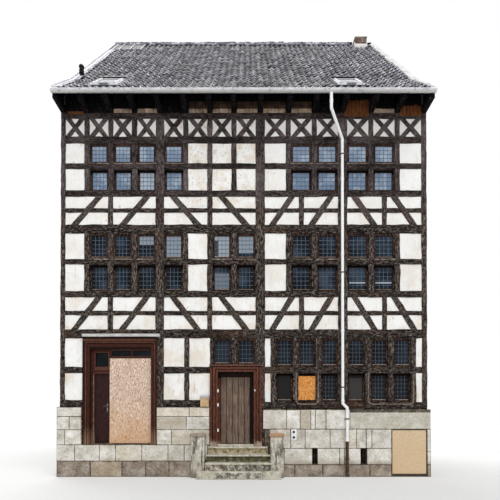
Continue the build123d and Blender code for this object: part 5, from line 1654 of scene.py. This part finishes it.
class HOUSE_OT_stage(bpy.types.Operator):
    """Pale floor, soft studio light and the camera across the street"""
    bl_idname = "house.stage"
    bl_label = "Stage"

    def execute(self, context):
        scene = context.scene
        deselect()
        bpy.ops.mesh.primitive_plane_add(size=400, location=(0, 0, -0.002))
        floor = bpy.context.object
        floor.name = floor.data.name = "studio_floor"
        m = bpy.data.materials.new("studio_floor")
        m.use_nodes = True
        shader = m.node_tree.nodes["Principled BSDF"]
        shader.inputs["Base Color"].default_value = (0.82, 0.82, 0.81, 1)
        shader.inputs["Roughness"].default_value = 0.95
        shader.inputs["Specular IOR Level"].default_value = 0.0
        floor.data.materials.append(m)

        world = scene.world or bpy.data.worlds.new("studio")
        scene.world = world
        world.use_nodes = True
        nodes, link = world.node_tree.nodes, world.node_tree.links.new
        nodes.clear()
        lights = []
        for colour, strength in (((1, 1, 1, 1), 1.0), ((0.97, 0.98, 1, 1), 0.66)):
            lights.append(nodes.new("ShaderNodeBackground"))
            lights[-1].inputs["Color"].default_value = colour
            lights[-1].inputs["Strength"].default_value = strength
        seen, light = lights
        path = nodes.new("ShaderNodeLightPath")
        any_seen = nodes.new("ShaderNodeMath")
        any_seen.operation = "MAXIMUM"
        link(path.outputs["Is Camera Ray"], any_seen.inputs[0])
        link(path.outputs["Is Transmission Ray"], any_seen.inputs[1])
        mix = nodes.new("ShaderNodeMixShader")
        out = nodes.new("ShaderNodeOutputWorld")
        for i, source in enumerate((any_seen, light, seen)):
            link(source.outputs[0], mix.inputs[i])
        link(mix.outputs[0], out.inputs["Surface"])

        for name, tilt, around, energy, spread in SUNS:
            lamp = bpy.data.lights.new(name, "SUN")
            lamp.energy = energy
            lamp.angle = math.radians(spread)
            obj = bpy.data.objects.new(name, lamp)
            scene.collection.objects.link(obj)
            tilt, around = math.radians(tilt), math.radians(around)
            way = Vector((math.sin(around), math.cos(around) * math.copysign(1, -tilt), 0))
            way = Vector((way.x * math.cos(abs(tilt)), way.y * math.cos(tilt), -math.sin(abs(tilt))))
            obj.rotation_mode = "QUATERNION"
            obj.rotation_quaternion = way.to_track_quat("-Z", "Y")

        scene.view_settings.view_transform = "Standard"
        lens = bpy.data.cameras.new("street_camera")
        camera = bpy.data.objects.new("street_camera", lens)
        scene.collection.objects.link(camera)
        scene.camera = camera
        lens.sensor_width = 36.0
        lens.lens = lens.sensor_width * PHOTO_FOCUS / PHOTO_WIDTH
        lens.shift_x = 0.006
        lens.shift_y = 0.342
        lens.clip_end = 500
        camera.location = (0.0975, FACE_Y - sizes().camera_distance, sizes().camera_height)
        camera.rotation_euler = (math.radians(90.5), 0, 0)
        return {"FINISHED"}


class HOUSE_PT_panel(bpy.types.Panel):
    bl_label = "Half timbered house"
    bl_idname = "HOUSE_PT_panel"
    bl_space_type = "VIEW_3D"
    bl_region_type = "UI"
    bl_category = "House"

    def draw(self, context):
        for name in HouseSizes.__annotations__:
            self.layout.prop(context.scene.house_sizes, name)
        for operator in OPERATORS:
            self.layout.operator(operator.bl_idname)


OPERATORS = (
    HOUSE_OT_finishes, HOUSE_OT_timbers, HOUSE_OT_pantiles, HOUSE_OT_ridge, HOUSE_OT_verges, HOUSE_OT_skylights,
    HOUSE_OT_gutter_fittings, HOUSE_OT_eaves, HOUSE_OT_leaded_lights, HOUSE_OT_window_sills,
    HOUSE_OT_ashlar, HOUSE_OT_vents, HOUSE_OT_steps, HOUSE_OT_boards, HOUSE_OT_portal,
    HOUSE_OT_shop_leaf, HOUSE_OT_doorcase, HOUSE_OT_plank_door, HOUSE_OT_letterbox,
    HOUSE_OT_chimney, HOUSE_OT_vent_cowl, HOUSE_OT_stage,
)
CLASSES = (HouseSizes, *OPERATORS, HOUSE_PT_panel)


def register():
    for c in CLASSES:
        bpy.utils.register_class(c)
    bpy.types.Scene.house_sizes = bpy.props.PointerProperty(type=HouseSizes)


def unregister():
    del bpy.types.Scene.house_sizes
    for c in reversed(CLASSES):
        bpy.utils.unregister_class(c)


def main():
    register()
    for operator in OPERATORS:
        group, name = operator.bl_idname.split(".")
        getattr(getattr(bpy.ops, group), name)()


if __name__ == "__main__":
    main()
